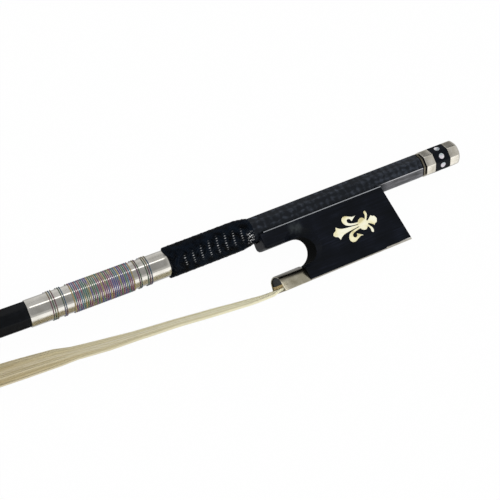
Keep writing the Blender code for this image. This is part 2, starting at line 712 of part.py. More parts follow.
def make_frog_metal():
    """Ferrule, liner, underslide and heel plate."""
    ferrule = add_part("ferrule", along_x("ferrule", ferrule_section(0), FERRULE_LENGTH), "nickel_silver",
                       FROG, (MOUTH_X + FERRULE_LENGTH / 2, 0, 0))
    bore = along_x("ferrule_bore", ferrule_section(FERRULE_WALL), 2 * FERRULE_LENGTH)
    combine(ferrule, add_cutter("ferrule_bore", bore, FROG, (MOUTH_X + FERRULE_LENGTH / 2, 0, 0)))

    heel_top = HEEL_X - HEEL_LEAN
    start = NOSE_X + NOSE_SETBACK
    length = heel_top - start
    liner = add_part("frog_liner", along_x("frog_liner", liner_section(), length), "nickel_silver", FROG,
                     (start + length / 2, 0, 0), smooth=False)
    hole = cylinder_mesh("liner_hole", EYELET_SHANK / 2 + SEAT_GAP, STICK_FLATS, "Y", 24)
    combine(liner, add_cutter("liner_hole", hole, FROG, (EYELET_X, -STICK_FLATS / 2, 0)))

    width = 2 * cheek(-FROG_BOTTOM)
    start = FERRULE_BACK_X + SEAT_GAP
    end = HEEL_PLATE_X - SEAT_GAP
    mesh = box_mesh("underslide", end - start, UNDERSLIDE_THICK, width)
    place = ((start + end) / 2, -FROG_BOTTOM + UNDERSLIDE_THICK / 2, 0)
    slide = add_part("underslide", mesh, "nickel_silver", FROG, place, smooth=False)
    low, high = pearl_ends()
    window = box_mesh("slide_window", high - low + 2 * SEAT_GAP, 4 * UNDERSLIDE_THICK, PEARL_WIDTH + 2 * SEAT_GAP)
    combine(slide, add_cutter("slide_window", window, FROG, ((low + high) / 2, -FROG_BOTTOM, 0)))
    mesh = box_mesh("pearl_slide", high - low, PEARL_THICK, PEARL_WIDTH)
    place = ((low + high) / 2, -FROG_BOTTOM + PEARL_THICK / 2 + PROUD, 0)
    add_part("pearl_slide", mesh, "pearl", FROG, place, smooth=False)

    mesh = box_mesh("heel_plate", HEEL_PLATE_LENGTH, HEEL_PLATE_THICK, width)
    place = (HEEL_PLATE_X + HEEL_PLATE_LENGTH / 2, -FROG_BOTTOM + HEEL_PLATE_THICK / 2, 0)
    heel_plate = add_part("heel_plate", mesh, "nickel_silver", FROG, place, smooth=False)
    return liner, heel_plate


def liner_section():
    """The sheet between the frog and the stick's lower facets, with a lip over each cheek, as (Z, Y) points."""
    half = []
    lip_top = -FROG_TOP + SEAT_GAP + LINER_LIP
    lip_bottom = -FROG_TOP + SEAT_GAP
    for out, y in ((SLIDE_GAP, lip_top), (SHEET_OUT, lip_bottom)):
        flat = STICK_HALF + out
        edge = math.sqrt(2) * flat + y
        half.append(((flat * math.tan(math.pi / 8), -flat), (edge, y)))
    (inner_low, inner_high), (outer_low, outer_high) = half
    lip = cheek(-FROG_TOP)
    side = [inner_low, inner_high, (lip, lip_top), (lip, lip_bottom), outer_high, outer_low]
    return side + [(-z, y) for z, y in reversed(side)]


def pin_hole(name, x, y, part):
    hole = cylinder_mesh(name, PIN_DIAMETER / 2 + SEAT_GAP, 2 * PIN_LENGTH + 4 * SEAT_GAP, "Y", 16)
    combine(part, add_cutter(name, hole, FROG, (x, y, 0)))


def make_pins(frog, liner, heel_plate):
    """Brass pins through the heel plate and the liner into the ebony."""
    heel_bottom = -FROG_BOTTOM + PROUD
    liner_top = -(STICK_HALF + SLIDE_GAP) - PROUD
    pins = (("heel_pin_1", HEEL_PLATE_X + HEEL_PLATE_LENGTH * 0.25, heel_bottom + PIN_LENGTH / 2, heel_plate),
            ("heel_pin_2", HEEL_PLATE_X + HEEL_PLATE_LENGTH * 0.72, heel_bottom + PIN_LENGTH / 2, heel_plate),
            ("liner_pin_1", HEEL_X - 0.15 * FROG_LENGTH, liner_top - PIN_LENGTH / 2, liner),
            ("liner_pin_2", NOSE_X + 0.2 * FROG_LENGTH, liner_top - PIN_LENGTH / 2, liner))
    for name, x, y, holder in pins:
        mesh = cylinder_mesh(name, PIN_DIAMETER / 2, PIN_LENGTH, "Y", 16)
        add_part(name, mesh, "brass", FROG, (x, y, 0))
        side = -1 if holder is heel_plate else 1
        hole_y = y + side * PIN_LENGTH / 2
        pin_hole(name + "_seat", x, hole_y, holder)
        pin_hole(name + "_hole", x, hole_y, frog)


def make_frog_hair():
    """The knot and its plug in the mortise, and the wedge in the ferrule."""
    width = FROG_MORTISE_WIDTH - 2 * SEAT_GAP
    front = -FROG_MORTISE_START - FROG_MORTISE_LENGTH + SEAT_GAP
    low = -FROG_BOTTOM + PEARL_THICK + 2 * SEAT_GAP
    high = -FROG_BOTTOM + FROG_MORTISE_DEPTH
    knot_front = front + KNOT_LENGTH / 4
    mesh = box_mesh("frog_hair_knot", KNOT_LENGTH, high - low, width)
    place = (knot_front + KNOT_LENGTH / 2, (high + low) / 2, 0)
    add_part("frog_hair_knot", mesh, "horsehair", FROG, place, smooth=False)
    plug_front = knot_front + KNOT_LENGTH + SEAT_GAP
    plug_end = -FROG_MORTISE_START - SEAT_GAP
    mesh = box_mesh("frog_mortise_plug", plug_end - plug_front, high - low, width)
    place = ((plug_front + plug_end) / 2, (high + low) / 2, 0)
    add_part("frog_mortise_plug", mesh, "maple", FROG, place, smooth=False)

    inner = FROG_BOTTOM_WIDTH - 2 * (FERRULE_WALL + WEDGE_THICK)
    mesh = box_mesh("spread_wedge", WEDGE_LENGTH, WEDGE_THICK, inner)
    low = HAIR_Y + HAIR_THICK / 2 + SEAT_GAP
    place = (MOUTH_X + FERRULE_WALL + WEDGE_LENGTH / 2, low + WEDGE_THICK / 2, 0)
    add_part("spread_wedge", mesh, "maple", FROG, place, smooth=False)
    return knot_front


# Half of the fleur-de-lis in millimetres: from the petal's tip, along its edge, to the end of its foot
# Half of the fleur-de-lis in millimetres, from its tip. Each row is one smooth curve, from corner to corner.
FLEUR_CURVES_MM = (
    ((0.0, 0.0), (0.5, 0.75), (1.45, 1.2), (1.95, 2.35)),
    ((1.95, 2.35), (3.0, 1.5), (5.0, 0.85), (10.45, 0.3)),
    ((10.45, 0.55), (8.2, 0.85), (6.2, 1.5), (5.25, 2.7), (5.15, 3.9), (5.9, 4.75), (6.95, 4.8), (8.3, 4.2),
     (9.5, 3.7), (10.7, 3.7)),
    ((10.7, 3.7), (9.6, 3.05), (8.6, 2.35)),
    ((8.6, 2.35), (8.25, 3.25), (7.45, 3.55), (6.85, 3.0), (7.1, 2.15), (8.5, 1.5), (10.6, 1.15)),
    ((10.6, 1.15), (11.3, 1.97), (12.5, 2.25), (13.4, 1.6)),
    ((13.5, 1.25), (14.15, 2.5), (14.15, 3.75), (14.85, 4.0), (15.05, 2.6), (13.9, 0.75)),
    ((14.3, 0.45), (15.3, 1.1), (16.15, 1.85)),
    ((16.15, 1.85), (16.7, 1.35), (17.4, 1.15), (17.95, 0.0)),
)
FLEUR_STEPS = 3


def smooth_curve(knots, steps):
    """Points on a curve through the knots, each span bent by its neighbours."""
    points = [Vector(knot) for knot in knots]
    ends = [2 * points[0] - points[1]] + points + [2 * points[-1] - points[-2]]
    made = []
    for before, start, end, after in zip(ends, ends[1:], ends[2:], ends[3:]):
        for i in range(steps):
            t = i / steps
            bend = ((end - before) * t + (2 * before - 5 * start + 4 * end - after) * t * t
                    + (3 * start - before - 3 * end + after) * t ** 3)
            made.append(start + bend / 2)
    return made + [points[-1]]


def fleur_outline():
    half = []
    for knots in FLEUR_CURVES_MM:
        for point in smooth_curve(knots, FLEUR_STEPS):
            if not half or (point - half[-1]).length > 0.01:
                half.append(point)
    half = [(x / 1000, max(0.0, y / 1000)) for x, y in half]
    return half + [(x, -y) for x, y in reversed(half[1:-1])]


def make_inlays(frog):
    """A fleur-de-lis let into each cheek, in a pocket with a narrow gap all round."""
    points = fleur_outline()
    length = max(x for x, _ in points)
    surface = cheek(-INLAY_DROP)
    sink = INLAY_THICK / 2 - PROUD
    for side, name in ((1, "fleur_inlay_near"), (-1, "fleur_inlay_far")):
        turn = -CHEEK_ANGLE if side > 0 else math.pi + CHEEK_ANGLE
        outward = Vector((0, math.sin(CHEEK_ANGLE), side * math.cos(CHEEK_ANGLE)))
        place = Vector((-INLAY_END - length, -INLAY_DROP, side * surface)) - outward * sink
        mesh = outline_mesh(name, points, INLAY_THICK)
        add_part(name, mesh, "gold_pearl", FROG, place, (turn, 0, 0), smooth=False)
        pocket = add_cutter(name + "_pocket", mesh.copy(), FROG, place, (turn, 0, 0))
        grow = pocket.modifiers.new("clearance", "DISPLACE")
        grow.strength = SEAT_GAP
        grow.mid_level = 0
        combine(frog, pocket)


def ribbon_loop(place, along, height, width, tilt):
    """A flat rounded section of the ribbon, square to its run and tilted about it."""
    up = Vector((-along.y, along.x, 0))
    if up.dot(FROM_HAIR) < 0:
        up = -up
    loop = []
    corners = ((1.0, 0.3), (0.92, 1.0), (-0.92, 1.0), (-1.0, 0.3), (-1.0, -0.3), (-0.92, -1.0),
               (0.92, -1.0), (1.0, -0.3))
    for side, rise in corners:
        across = side * width / 2
        above = rise * height / 2
        lift = above * math.cos(tilt) - across * math.sin(tilt)
        shift = above * math.sin(tilt) + across * math.cos(tilt)
        loop.append(place + up * lift + Vector((0, 0, shift)))
    return loop


def hair_lie(share):
    """Height and drop of the loose ribbon, eased between the places given for them."""
    for (low, *a), (high, *b) in zip(HAIR_LIE, HAIR_LIE[1:]):
        if share <= high:
            part = (share - low) / (high - low)
            ease = part * part * (3 - 2 * part)
            return [p + (q - p) * ease for p, q in zip(a, b)]
    return HAIR_LIE[-1][1:]


def make_hair(knot_front):
    """One ribbon from the frog's knot through the ferrule to the knot in the head."""
    start = Vector((MOUTH_X, HAIR_Y, 0))
    drop = HEAD_FACE + HAIR_THICK / 2
    bend = hair_bend_place()
    end = head_point(bend - HAIR_BEND, -drop)
    sections = [(Vector((knot_front - SEAT_GAP, HAIR_Y, 0)), FROG_MORTISE_WIDTH - 4 * SEAT_GAP, 0.0),
                (Vector((FERRULE_BACK_X, HAIR_Y, 0)), HAIR_WIDTH, 0.0)]
    for i in range(HAIR_STEPS + 1):
        share = i / HAIR_STEPS
        share = share * share * (1.6 - 0.6 * share)
        height, drop_here = hair_lie(share)
        place = start.lerp(end, share) - FROM_HAIR * (drop_here + 4 * HAIR_SAG * share * (1 - share))
        width = HAIR_WIDTH + (HAIR_HEAD_WIDTH - HAIR_WIDTH) * share ** 6
        tilt = math.asin(min(1.0, max(0.0, height - HAIR_THICK) / width))
        sections.append((place, width, tilt))
    for i in range(1, 6):
        angle = math.pi / 2 * i / 5
        place = head_point(bend - HAIR_BEND * (1 - math.sin(angle)), -drop + HAIR_BEND * (1 - math.cos(angle)))
        sections.append((place, HAIR_HEAD_WIDTH, 0.0))
    sections.append((head_point(bend, HEAD_MORTISE_DEPTH / 2), HAIR_HEAD_WIDTH, 0.0))

    loops = []
    places = [place for place, _, _ in sections]
    for i, (place, width, tilt) in enumerate(sections):
        along = (places[min(i + 1, len(places) - 1)] - places[max(i - 1, 0)]).normalized()
        if i > len(sections) - 7:
            loops.append(turned_loop(place, along, width))
        else:
            loops.append(ribbon_loop(place, along, HAIR_THICK, width, tilt))
    add_part("hair_ribbon", loft_mesh("hair_ribbon", loops), "horsehair", STICK)


def turned_loop(place, along, width):
    """A section where the ribbon turns into the head: its upper side faces back there."""
    up = Vector((-along.y, along.x, 0))
    if up.dot(FROM_HAIR - TO_TIP) < 0:
        up = -up
    corners = ((1.0, 0.3), (0.92, 1.0), (-0.92, 1.0), (-1.0, 0.3), (-1.0, -0.3), (-0.92, -1.0),
               (0.92, -1.0), (1.0, -0.3))
    return [place + up * rise * HAIR_THICK / 2 + Vector((0, 0, side * width / 2)) for side, rise in corners]


def turned_mesh(name, profile):
    """A profile of (distance along, radius) points, for a Screw modifier about Z."""
    bm = bmesh.new()
    verts = [bm.verts.new((radius, 0, along)) for along, radius in profile]
    for a, b in zip(verts, verts[1:]):
        bm.edges.new((a, b))
    mesh = bpy.data.meshes.new(name)
    bm.to_mesh(mesh)
    bm.free()
    return mesh


def make_screw():
    """The steel screw, turned from end to end, with its shoulder in the button."""
    radius = SCREW_DIAMETER / 2
    shaft = radius * 0.88
    chamfer = radius / 3
    thread_end = EYELET_X + EYELET_LENGTH + FROG_TRAVEL + EYELET_LENGTH
    profile = [(SCREW_IN_BUTTON, 0), (SCREW_IN_BUTTON, radius - chamfer), (SCREW_IN_BUTTON - chamfer, radius),
               (-STICK_END, radius), (-STICK_END, shaft), (thread_end, shaft), (thread_end, radius),
               (-SCREW_LENGTH + chamfer, radius), (-SCREW_LENGTH, radius - chamfer), (-SCREW_LENGTH, 0)]
    screw = add_part("adjusting_screw", turned_mesh("adjusting_screw", profile), "steel", BUTTON,
                     turn=(0, math.pi / 2, 0), smooth=False)
    spin = screw.modifiers.new("turning", "SCREW")
    spin.axis = "Z"
    spin.steps = 24
    spin.render_steps = 24
    spin.use_merge_vertices = True
    spin.merge_threshold = 0.000001
    return screw


def make_eyelet():
    """The brass nut on the screw: a round-topped block with a shank down into the frog."""
    half = EYELET_WIDTH / 2
    outline = [(half, -EYELET_BASE)] + arc(0, 0, half, 0, 180, 12) + [(-half, -EYELET_BASE)]
    eyelet = add_part("eyelet", along_x("eyelet", outline, EYELET_LENGTH), "brass", FROG, (EYELET_X, 0, 0))
    shank_top = -EYELET_BASE + EYELET_BASE / 4
    shank_length = EYELET_SHANK_DEPTH + shank_top - SEAT_GAP * 2
    shank = cylinder_mesh("eyelet_shank", EYELET_SHANK / 2, shank_length, "Y", 24)
    shank_place = (EYELET_X, shank_top - shank_length / 2, 0)
    combine(eyelet, add_cutter("eyelet_shank", shank, FROG, shank_place), "UNION")
    hole = cylinder_mesh("eyelet_thread", SCREW_DIAMETER / 2 + SLIDE_GAP, 2 * EYELET_LENGTH, "X", 24)
    combine(eyelet, add_cutter("eyelet_thread", hole, FROG, (EYELET_X, 0, 0)))


def ring(name, flats, start, end, bore, edge):
    """An eight-sided metal ring with softened edges and a round bore."""
    part = add_part(name, octagon_mesh(name, flats, end - start), "nickel_silver", BUTTON,
                    ((start + end) / 2, 0, 0), smooth=False)
    bevel = part.modifiers.new("edges", "BEVEL")
    bevel.width = edge
    bevel.segments = 2
    bevel.limit_method = "ANGLE"
    bevel.angle_limit = math.radians(60)
    bore_mesh = cylinder_mesh(name + "_bore", bore / 2, 2 * (end - start), "X", 32)
    return part, add_cutter(name + "_bore", bore_mesh, BUTTON, ((start + end) / 2, 0, 0))


def make_button():
    """Collar, front ring, ebony core with a pearl dot on each facet, and the rear ring with its pearl eye."""
    neck = NECK_DIAMETER + 2 * SEAT_GAP
    collar_end = -COLLAR_GROOVE
    part, bore = ring("button_collar", COLLAR_FLATS, collar_end - COLLAR_LENGTH, collar_end, neck, RING_EDGE)
    combine(part, bore)
    part, bore = ring("button_front_ring", BUTTON_FLATS, 0, FRONT_RING, neck, RING_EDGE)
    combine(part, bore)

    eye_seat = BUTTON_END_X - EYE_THICK - SEAT_GAP
    neck_end = eye_seat - EYE_THICK
    part, bore = ring("button_rear_ring", BUTTON_FLATS, REAR_X, BUTTON_END_X, neck, RING_EDGE)
    bore.location.x = neck_end + SEAT_GAP - (BUTTON_END_X - REAR_X)
    combine(part, bore)
    small = REAR_END_DIAMETER / 2
    large = small + (BUTTON_END_X - REAR_X) * (BUTTON_FLATS / 1.8 - small) / REAR_EDGE
    mesh = cylinder_mesh("rear_end", large, BUTTON_END_X - REAR_X, "X", 48, small)
    combine(part, add_cutter("rear_end", mesh, BUTTON, ((REAR_X + BUTTON_END_X) / 2, 0, 0)), "INTERSECT")
    seat = cylinder_mesh("eye_seat", EYE_DIAMETER / 2 + SEAT_GAP, 2 * EYE_THICK, "X", 32)
    combine(part, add_cutter("eye_seat", seat, BUTTON, (eye_seat + EYE_THICK, 0, 0)))
    eye = cylinder_mesh("button_eye", EYE_DIAMETER / 2, EYE_THICK, "X", 32)
    add_part("button_eye", eye, "pearl", BUTTON, (BUTTON_END_X - EYE_THICK / 2, 0, 0))

    core_length = CORE_END_X - CORE_X
    core = add_part("button_core", octagon_mesh("button_core", BUTTON_FLATS, core_length), "ebony", BUTTON,
                    ((CORE_X + CORE_END_X) / 2, 0, 0), smooth=False)
    neck_start = collar_end - COLLAR_LENGTH
    neck_mesh = cylinder_mesh("core_neck", NECK_DIAMETER / 2, neck_end - neck_start, "X", 32)
    combine(core, add_cutter("core_neck", neck_mesh, BUTTON, ((neck_end + neck_start) / 2, 0, 0)), "UNION")
    hole_length = SCREW_IN_BUTTON + SEAT_GAP
    hole = cylinder_mesh("core_hole", SCREW_DIAMETER / 2 + SEAT_GAP, 2 * hole_length, "X", 24)
    combine(core, add_cutter("core_hole", hole, BUTTON))
    make_dots(core)


def make_dots(core):
    """Eight pearl dots, each in a round seat in the middle of a facet."""
    middle = (CORE_X + CORE_END_X) / 2
    out = BUTTON_FLATS / 2 - DOT_THICK / 2 + PROUD
    for i in range(8):
        angle = TAU * i / 8
        place = (middle, -out * math.sin(angle), out * math.cos(angle))
        name = "pearl_dot_" + str(i + 1)
        dot = cylinder_mesh(name, DOT_DIAMETER / 2, DOT_THICK, "Z", 24)
        add_part(name, dot, "pearl", BUTTON, place, (angle, 0, 0))
        seat = cylinder_mesh(name + "_seat", DOT_DIAMETER / 2 + SEAT_GAP, DOT_THICK + 2 * SEAT_GAP, "Z", 24)
        combine(core, add_cutter(name + "_seat", seat, BUTTON, place, (angle, 0, 0)))


def stand_on_floor():
    """Moves the whole bow so that its box stands over the origin, on the floor."""
    bpy.context.view_layer.update()
    graph = bpy.context.evaluated_depsgraph_get()
    low = Vector((1e9, 1e9, 1e9))
    high = -low
    for part in PARTS.objects:
        if part.type != "MESH":
            continue
        for corner in part.evaluated_get(graph).bound_box:
            place = part.matrix_world @ Vector(corner)
            low = Vector(map(min, low, place))
            high = Vector(map(max, high, place))
    BOW.location = (-(low.x + high.x) / 2, -(low.y + high.y) / 2, -low.z)
    print("bow frame at", [round(1000 * value, 4) for value in BOW.location], "mm")
    print("size", [round(1000 * value, 2) for value in high - low], "mm")
    bpy.context.view_layer.update()


def main():
    make_stick()
    make_head_faces()
    make_head_hair()
    foil = make_handle_wraps()
    make_windings(foil)
    frog = make_frog_body()
    liner, heel_plate = make_frog_metal()
    make_pins(frog, liner, heel_plate)
    knot_front = make_frog_hair()
    make_inlays(frog)
    make_hair(knot_front)
    make_screw()
    make_eyelet()
    make_button()
    stand_on_floor()


main()
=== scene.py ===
import json
import math

import bmesh
import bpy
import numpy as np
from mathutils import Matrix, Vector


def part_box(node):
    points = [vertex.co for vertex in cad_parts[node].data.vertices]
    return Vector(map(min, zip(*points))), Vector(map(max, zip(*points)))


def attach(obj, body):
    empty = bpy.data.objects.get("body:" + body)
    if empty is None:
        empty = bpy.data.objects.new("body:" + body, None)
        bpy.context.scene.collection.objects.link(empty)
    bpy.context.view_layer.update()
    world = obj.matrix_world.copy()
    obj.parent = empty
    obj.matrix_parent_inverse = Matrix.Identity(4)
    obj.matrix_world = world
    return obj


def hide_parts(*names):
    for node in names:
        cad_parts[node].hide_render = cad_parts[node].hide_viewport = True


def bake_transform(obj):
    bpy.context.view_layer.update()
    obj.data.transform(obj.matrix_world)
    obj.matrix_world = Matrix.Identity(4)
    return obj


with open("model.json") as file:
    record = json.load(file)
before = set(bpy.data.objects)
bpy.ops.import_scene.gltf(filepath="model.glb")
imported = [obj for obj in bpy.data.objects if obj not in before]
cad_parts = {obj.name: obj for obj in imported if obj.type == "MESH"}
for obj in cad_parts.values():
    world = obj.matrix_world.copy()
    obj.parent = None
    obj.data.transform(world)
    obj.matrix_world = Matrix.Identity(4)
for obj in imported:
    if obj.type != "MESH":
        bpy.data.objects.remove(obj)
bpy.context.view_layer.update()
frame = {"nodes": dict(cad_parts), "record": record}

# A slack violin bow on its side. X runs along the handle to the screw button, Y away from the hair, Z up.
# Pieces are worked out in the bow's own frame, in millimetres, with x = 0 at the button's face and y = z = 0
# on the screw's axis, and are then moved to the frame's metres.

mm = 0.001
tau = 2 * math.pi
rng = np.random.default_rng(7)

ringLow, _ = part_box("button_front_ring")
eyeLow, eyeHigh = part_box("button_eye")
bowPlace = Vector((ringLow.x, (eyeLow.y + eyeHigh.y) / 2, (eyeLow.z + eyeHigh.z) / 2))


def toFrame(points):
    # Millimetres in the bow's frame to metres in the CAD frame.
    return np.asarray(points, float) * mm + np.array(bowPlace)


def fromHex(code):
    # An sRGB hex value as linear colour: each part over 12.92 if it is dark, and else a curve of the power 2.4.
    parts = [int(code[i:i + 2], 16) / 255 for i in (1, 3, 5)]
    linear = [v / 12.92 if v <= 0.04045 else ((v + 0.055) / 1.055) ** 2.4 for v in parts]
    return (*linear, 1.0)


def addNode(tree, kind, inputs=(), output=0, stops=(), **settings):
    # One node, and the output that is asked for. Its inputs are given by order or by name, each as a value, an
    # sRGB hex value or a socket to link, and a colour ramp is given its stops.
    node = tree.nodes.new("ShaderNode" + kind)
    for key, value in settings.items():
        setattr(node, key, value)
    for key, value in inputs.items() if isinstance(inputs, dict) else enumerate(inputs):
        if isinstance(value, bpy.types.NodeSocket):
            tree.links.new(value, node.inputs[key])
        else:
            node.inputs[key].default_value = fromHex(value) if isinstance(value, str) else value
    if stops:
        elements = node.color_ramp.elements
        while len(elements) < len(stops):
            elements.new(0.5)
        for element, (place, code) in zip(elements, stops):
            element.position = place
            element.color = fromHex(code)
    return node.outputs[output] if len(node.outputs) else node


def newMaterial(name, shader):
    # A material whose Principled shader has its plain sockets set.
    material = bpy.data.materials.new(name)
    material.use_nodes = True
    for key, value in shader.items():
        material.node_tree.nodes["Principled BSDF"].inputs[key].default_value = value
    return material, material.node_tree


def finishMaterial(material, colour, wear, relief=None):
    # The colour and roughness linked to the shader. Wear is a pattern and the roughness at its 0 and its 1.
    # Relief is a pattern, its depth in mm and its strength.
    tree = material.node_tree
    pattern, smooth, rough = wear
    links = {"Base Color": colour,
             "Roughness": addNode(tree, "MapRange", {"Value": pattern, "To Min": smooth, "To Max": rough})}
    if relief:
        height, depth, strength = relief
        links["Normal"] = addNode(tree, "Bump", {"Height": height, "Distance": depth * mm,
                                                 "Strength": strength})
    for key, socket in links.items():
        tree.links.new(socket, tree.nodes["Principled BSDF"].inputs[key])
    return material


def objectSpace(tree, stretch=(1, 1, 1), turn=(0, 0, 0)):
    # Object coordinates, stretched along each axis and then turned.
    place = addNode(tree, "TexCoord", output="Object")
    return addNode(tree, "Mapping", {"Vector": place, "Scale": stretch, "Rotation": turn})


def clouds(tree, scale, stretch=(1, 1, 1), detail=3.0, rough=0.5):
    # Noise on the object coordinates, with scale times stretch clouds to the metre.
    return addNode(tree, "TexNoise", {"Vector": objectSpace(tree, stretch), "Scale": scale, "Detail": detail,
                                      "Roughness": rough})


def bowAxes(tree):
    # How far a point is from the button's face along the bow, and from the screw's axis up and across, in mm.
    place = addNode(tree, "TexCoord", output="Object")
    moved = addNode(tree, "Mapping", {"Vector": place, "Location": -bowPlace / mm, "Scale": (1 / mm,) * 3})
    return addNode(tree, "SeparateXYZ", [moved]).node.outputs


def facingParts(tree):
    # How much the surface faces along X, Y and Z: the parts of its normal.
    return addNode(tree, "SeparateXYZ", [addNode(tree, "NewGeometry", output="Normal")]).node.outputs


def farFrom(tree, first, second, centre):
    # The distance of a point, given by two of its coordinates, from a centre in their plane.
    point = addNode(tree, "CombineXYZ", [first, second])
    return addNode(tree, "VectorMath", [point, (*centre, 0)], "Value", operation="DISTANCE")


def region(tree, *limits):
    # How far a point is in a region: the product of a smooth step for each limit. A limit is a value, where
    # its step starts and ends, and what it gives there if that isn't 0 and 1.
    share = 1.0
    for value, start, end, *ends in limits:
        low, high = ends or (0.0, 1.0)
        step = addNode(tree, "MapRange", {"Value": value, "From Min": start, "From Max": end, "To Min": low,
                                          "To Max": high}, interpolation_type="SMOOTHSTEP")
        share = addNode(tree, "Math", [share, step], operation="MULTIPLY")
    return share


def layered(tree, colour, *layers):
    # A colour with others laid over it in turn, each mixed in by its share.
    for share, layer in layers:
        colour = addNode(tree, "Mix", {0: share, 6: colour, 7: layer}, 2, data_type="RGBA")
    return colour


weave = {"towPitch": 2.5, "towsRound": 11.0, "warpAlong": 8.0, "warpRound": 7.0, "contrast": 0.14}


def carbonFibre():
    # Moulded carbon cloth under clear lacquer: black, with staggered grey flecks 2.5 mm apart where the tows
    # cross, which show where the hand holds it. Behind the frog the lower facets are painted streaky grey, a
    # painted reflection, and the edge above them is painted pale as a highlight. The flecks are the difference
    # of two cosines, along and round the stick, warped by clouds 2.4 mm wide and broken up by a grain.
    material, tree = newMaterial("carbonFibre", {"Specular IOR Level": 0.10})
    along, up, across = bowAxes(tree)
    angle = addNode(tree, "Math", [across, up], operation="ARCTAN2")
    warp = clouds(tree, 420.0, detail=2.0)
    waves = []
    for value, pace, amount in ((along, tau / weave["towPitch"], weave["warpAlong"]),
                                (angle, weave["towsRound"], weave["warpRound"])):
        shift = addNode(tree, "Math", [warp, amount], operation="MULTIPLY")
        phase = addNode(tree, "Math", [value, pace, shift], operation="MULTIPLY_ADD")
        waves.append(addNode(tree, "Math", [phase], operation="COSINE"))
    cloth = addNode(tree, "Math", waves, operation="SUBTRACT")
    lattice = addNode(tree, "Math", [cloth, weave["contrast"], 0.5], operation="MULTIPLY_ADD")
    grain = clouds(tree, 1.0, (420, 900, 900), 2.0)
    paler = region(tree, (along, -35, -12, 0.0, 0.08))
    fleck = addNode(tree, "Math", [lattice, grain, paler], operation="MULTIPLY_ADD")
    flecks = addNode(tree, "ValToRGB", [fleck], stops=[(0.20, "#181B20"), (0.28, "#1F2329"), (0.36, "#282C33"),
                                                       (0.47, "#353A43")])
    streaks = clouds(tree, 1.0, (220, 1100, 1100))
    paintedReflection = addNode(tree, "ValToRGB", [streaks], stops=[(0.30, "#4A4A4C"), (0.70, "#79797D")])
    facing = facingParts(tree)["Y"]
    behind = (along, -22, -16)
    # Painted reflection: streaky grey on the lower facets behind the frog. Painted highlight: a pale line on
    # the edge above them.
    colour = layered(tree, "#06080B", (region(tree, (along, -170, -95)), flecks),
                     (region(tree, behind, (facing, -0.35, -0.6)), paintedReflection),
                     (region(tree, behind, (facing, -0.08, -0.25), (facing, -0.62, -0.45)), "#D4D4D6"))
    return finishMaterial(material, colour, (grain, 0.28, 0.42), (grain, 0.03, 0.25))


def embossedLeather():
    # Black calf pressed with a lizard grain, with pores 0.3 mm apart: dull and blue-black, with rows of pale
    # glints painted on the beads on the thumb's side as painted highlights.
    material, tree = newMaterial("embossedLeather", {"Specular IOR Level": 0.025})
    pores = addNode(tree, "TexVoronoi", {"Vector": objectSpace(tree), "Scale": 3200.0})
    cloud = clouds(tree, 420.0)
    colour = addNode(tree, "ValToRGB", [cloud], stops=[(0.35, "#010204"), (0.65, "#0A121C")])
    # Painted highlights: pale glints laid over the black where the mesh's attribute says
    paintedGlints = addNode(tree, "Attribute", output="Fac", attribute_name="paintedGlints")
    return finishMaterial(material, layered(tree, colour, (paintedGlints, "#F2F4F6")), (cloud, 0.30, 0.50),
                          (pores, 0.06, 0.5))


def silverFoil():
    # Burnished silver foil: bright, with lengthwise rubbing marks 0.1 to 0.4 mm apart and slight dents.
    material, tree = newMaterial("silverFoil", {"Metallic": 1.0})
    marks = clouds(tree, 1.0, (120, 2600, 2600))
    dents = clouds(tree, 260.0, detail=2.0)
    colour = addNode(tree, "ValToRGB", [dents], stops=[(0.30, "#C6C3BB"), (0.55, "#D2CFC8"), (0.75, "#DCDAD4")])
    return finishMaterial(material, colour, (marks, 0.13, 0.17), (dents, 0.01, 0.3))


def silkThread():
    # Space-dyed silk: the dye changes along the thread, and its plies are 0.2 mm apart.
    material, tree = newMaterial("silkThread", {"Sheen Weight": 0.25, "Sheen Roughness": 0.4})
    dye = addNode(tree, "Attribute", attribute_name="dye")
    plies = clouds(tree, 5200.0, detail=1.0)
    shadow = addNode(tree, "ValToRGB", [plies], stops=[(0.35, "#B0B0B0"), (0.6, "#FFFFFF")])
    shade = addNode(tree, "Mix", {0: 0.5, 6: dye, 7: shadow}, 2, data_type="RGBA", blend_type="MULTIPLY")
    return finishMaterial(material, shade, (plies, 0.32, 0.5), (plies, 0.04, 0.5))


# The throat, and the centre and reach of the painted reflection above it
throat = {"centre": (-57.6, -13.2), "radius": 5.0, "paintedReflection": (-57.3, -5.0), "paintedReflectionReach": 3.6}


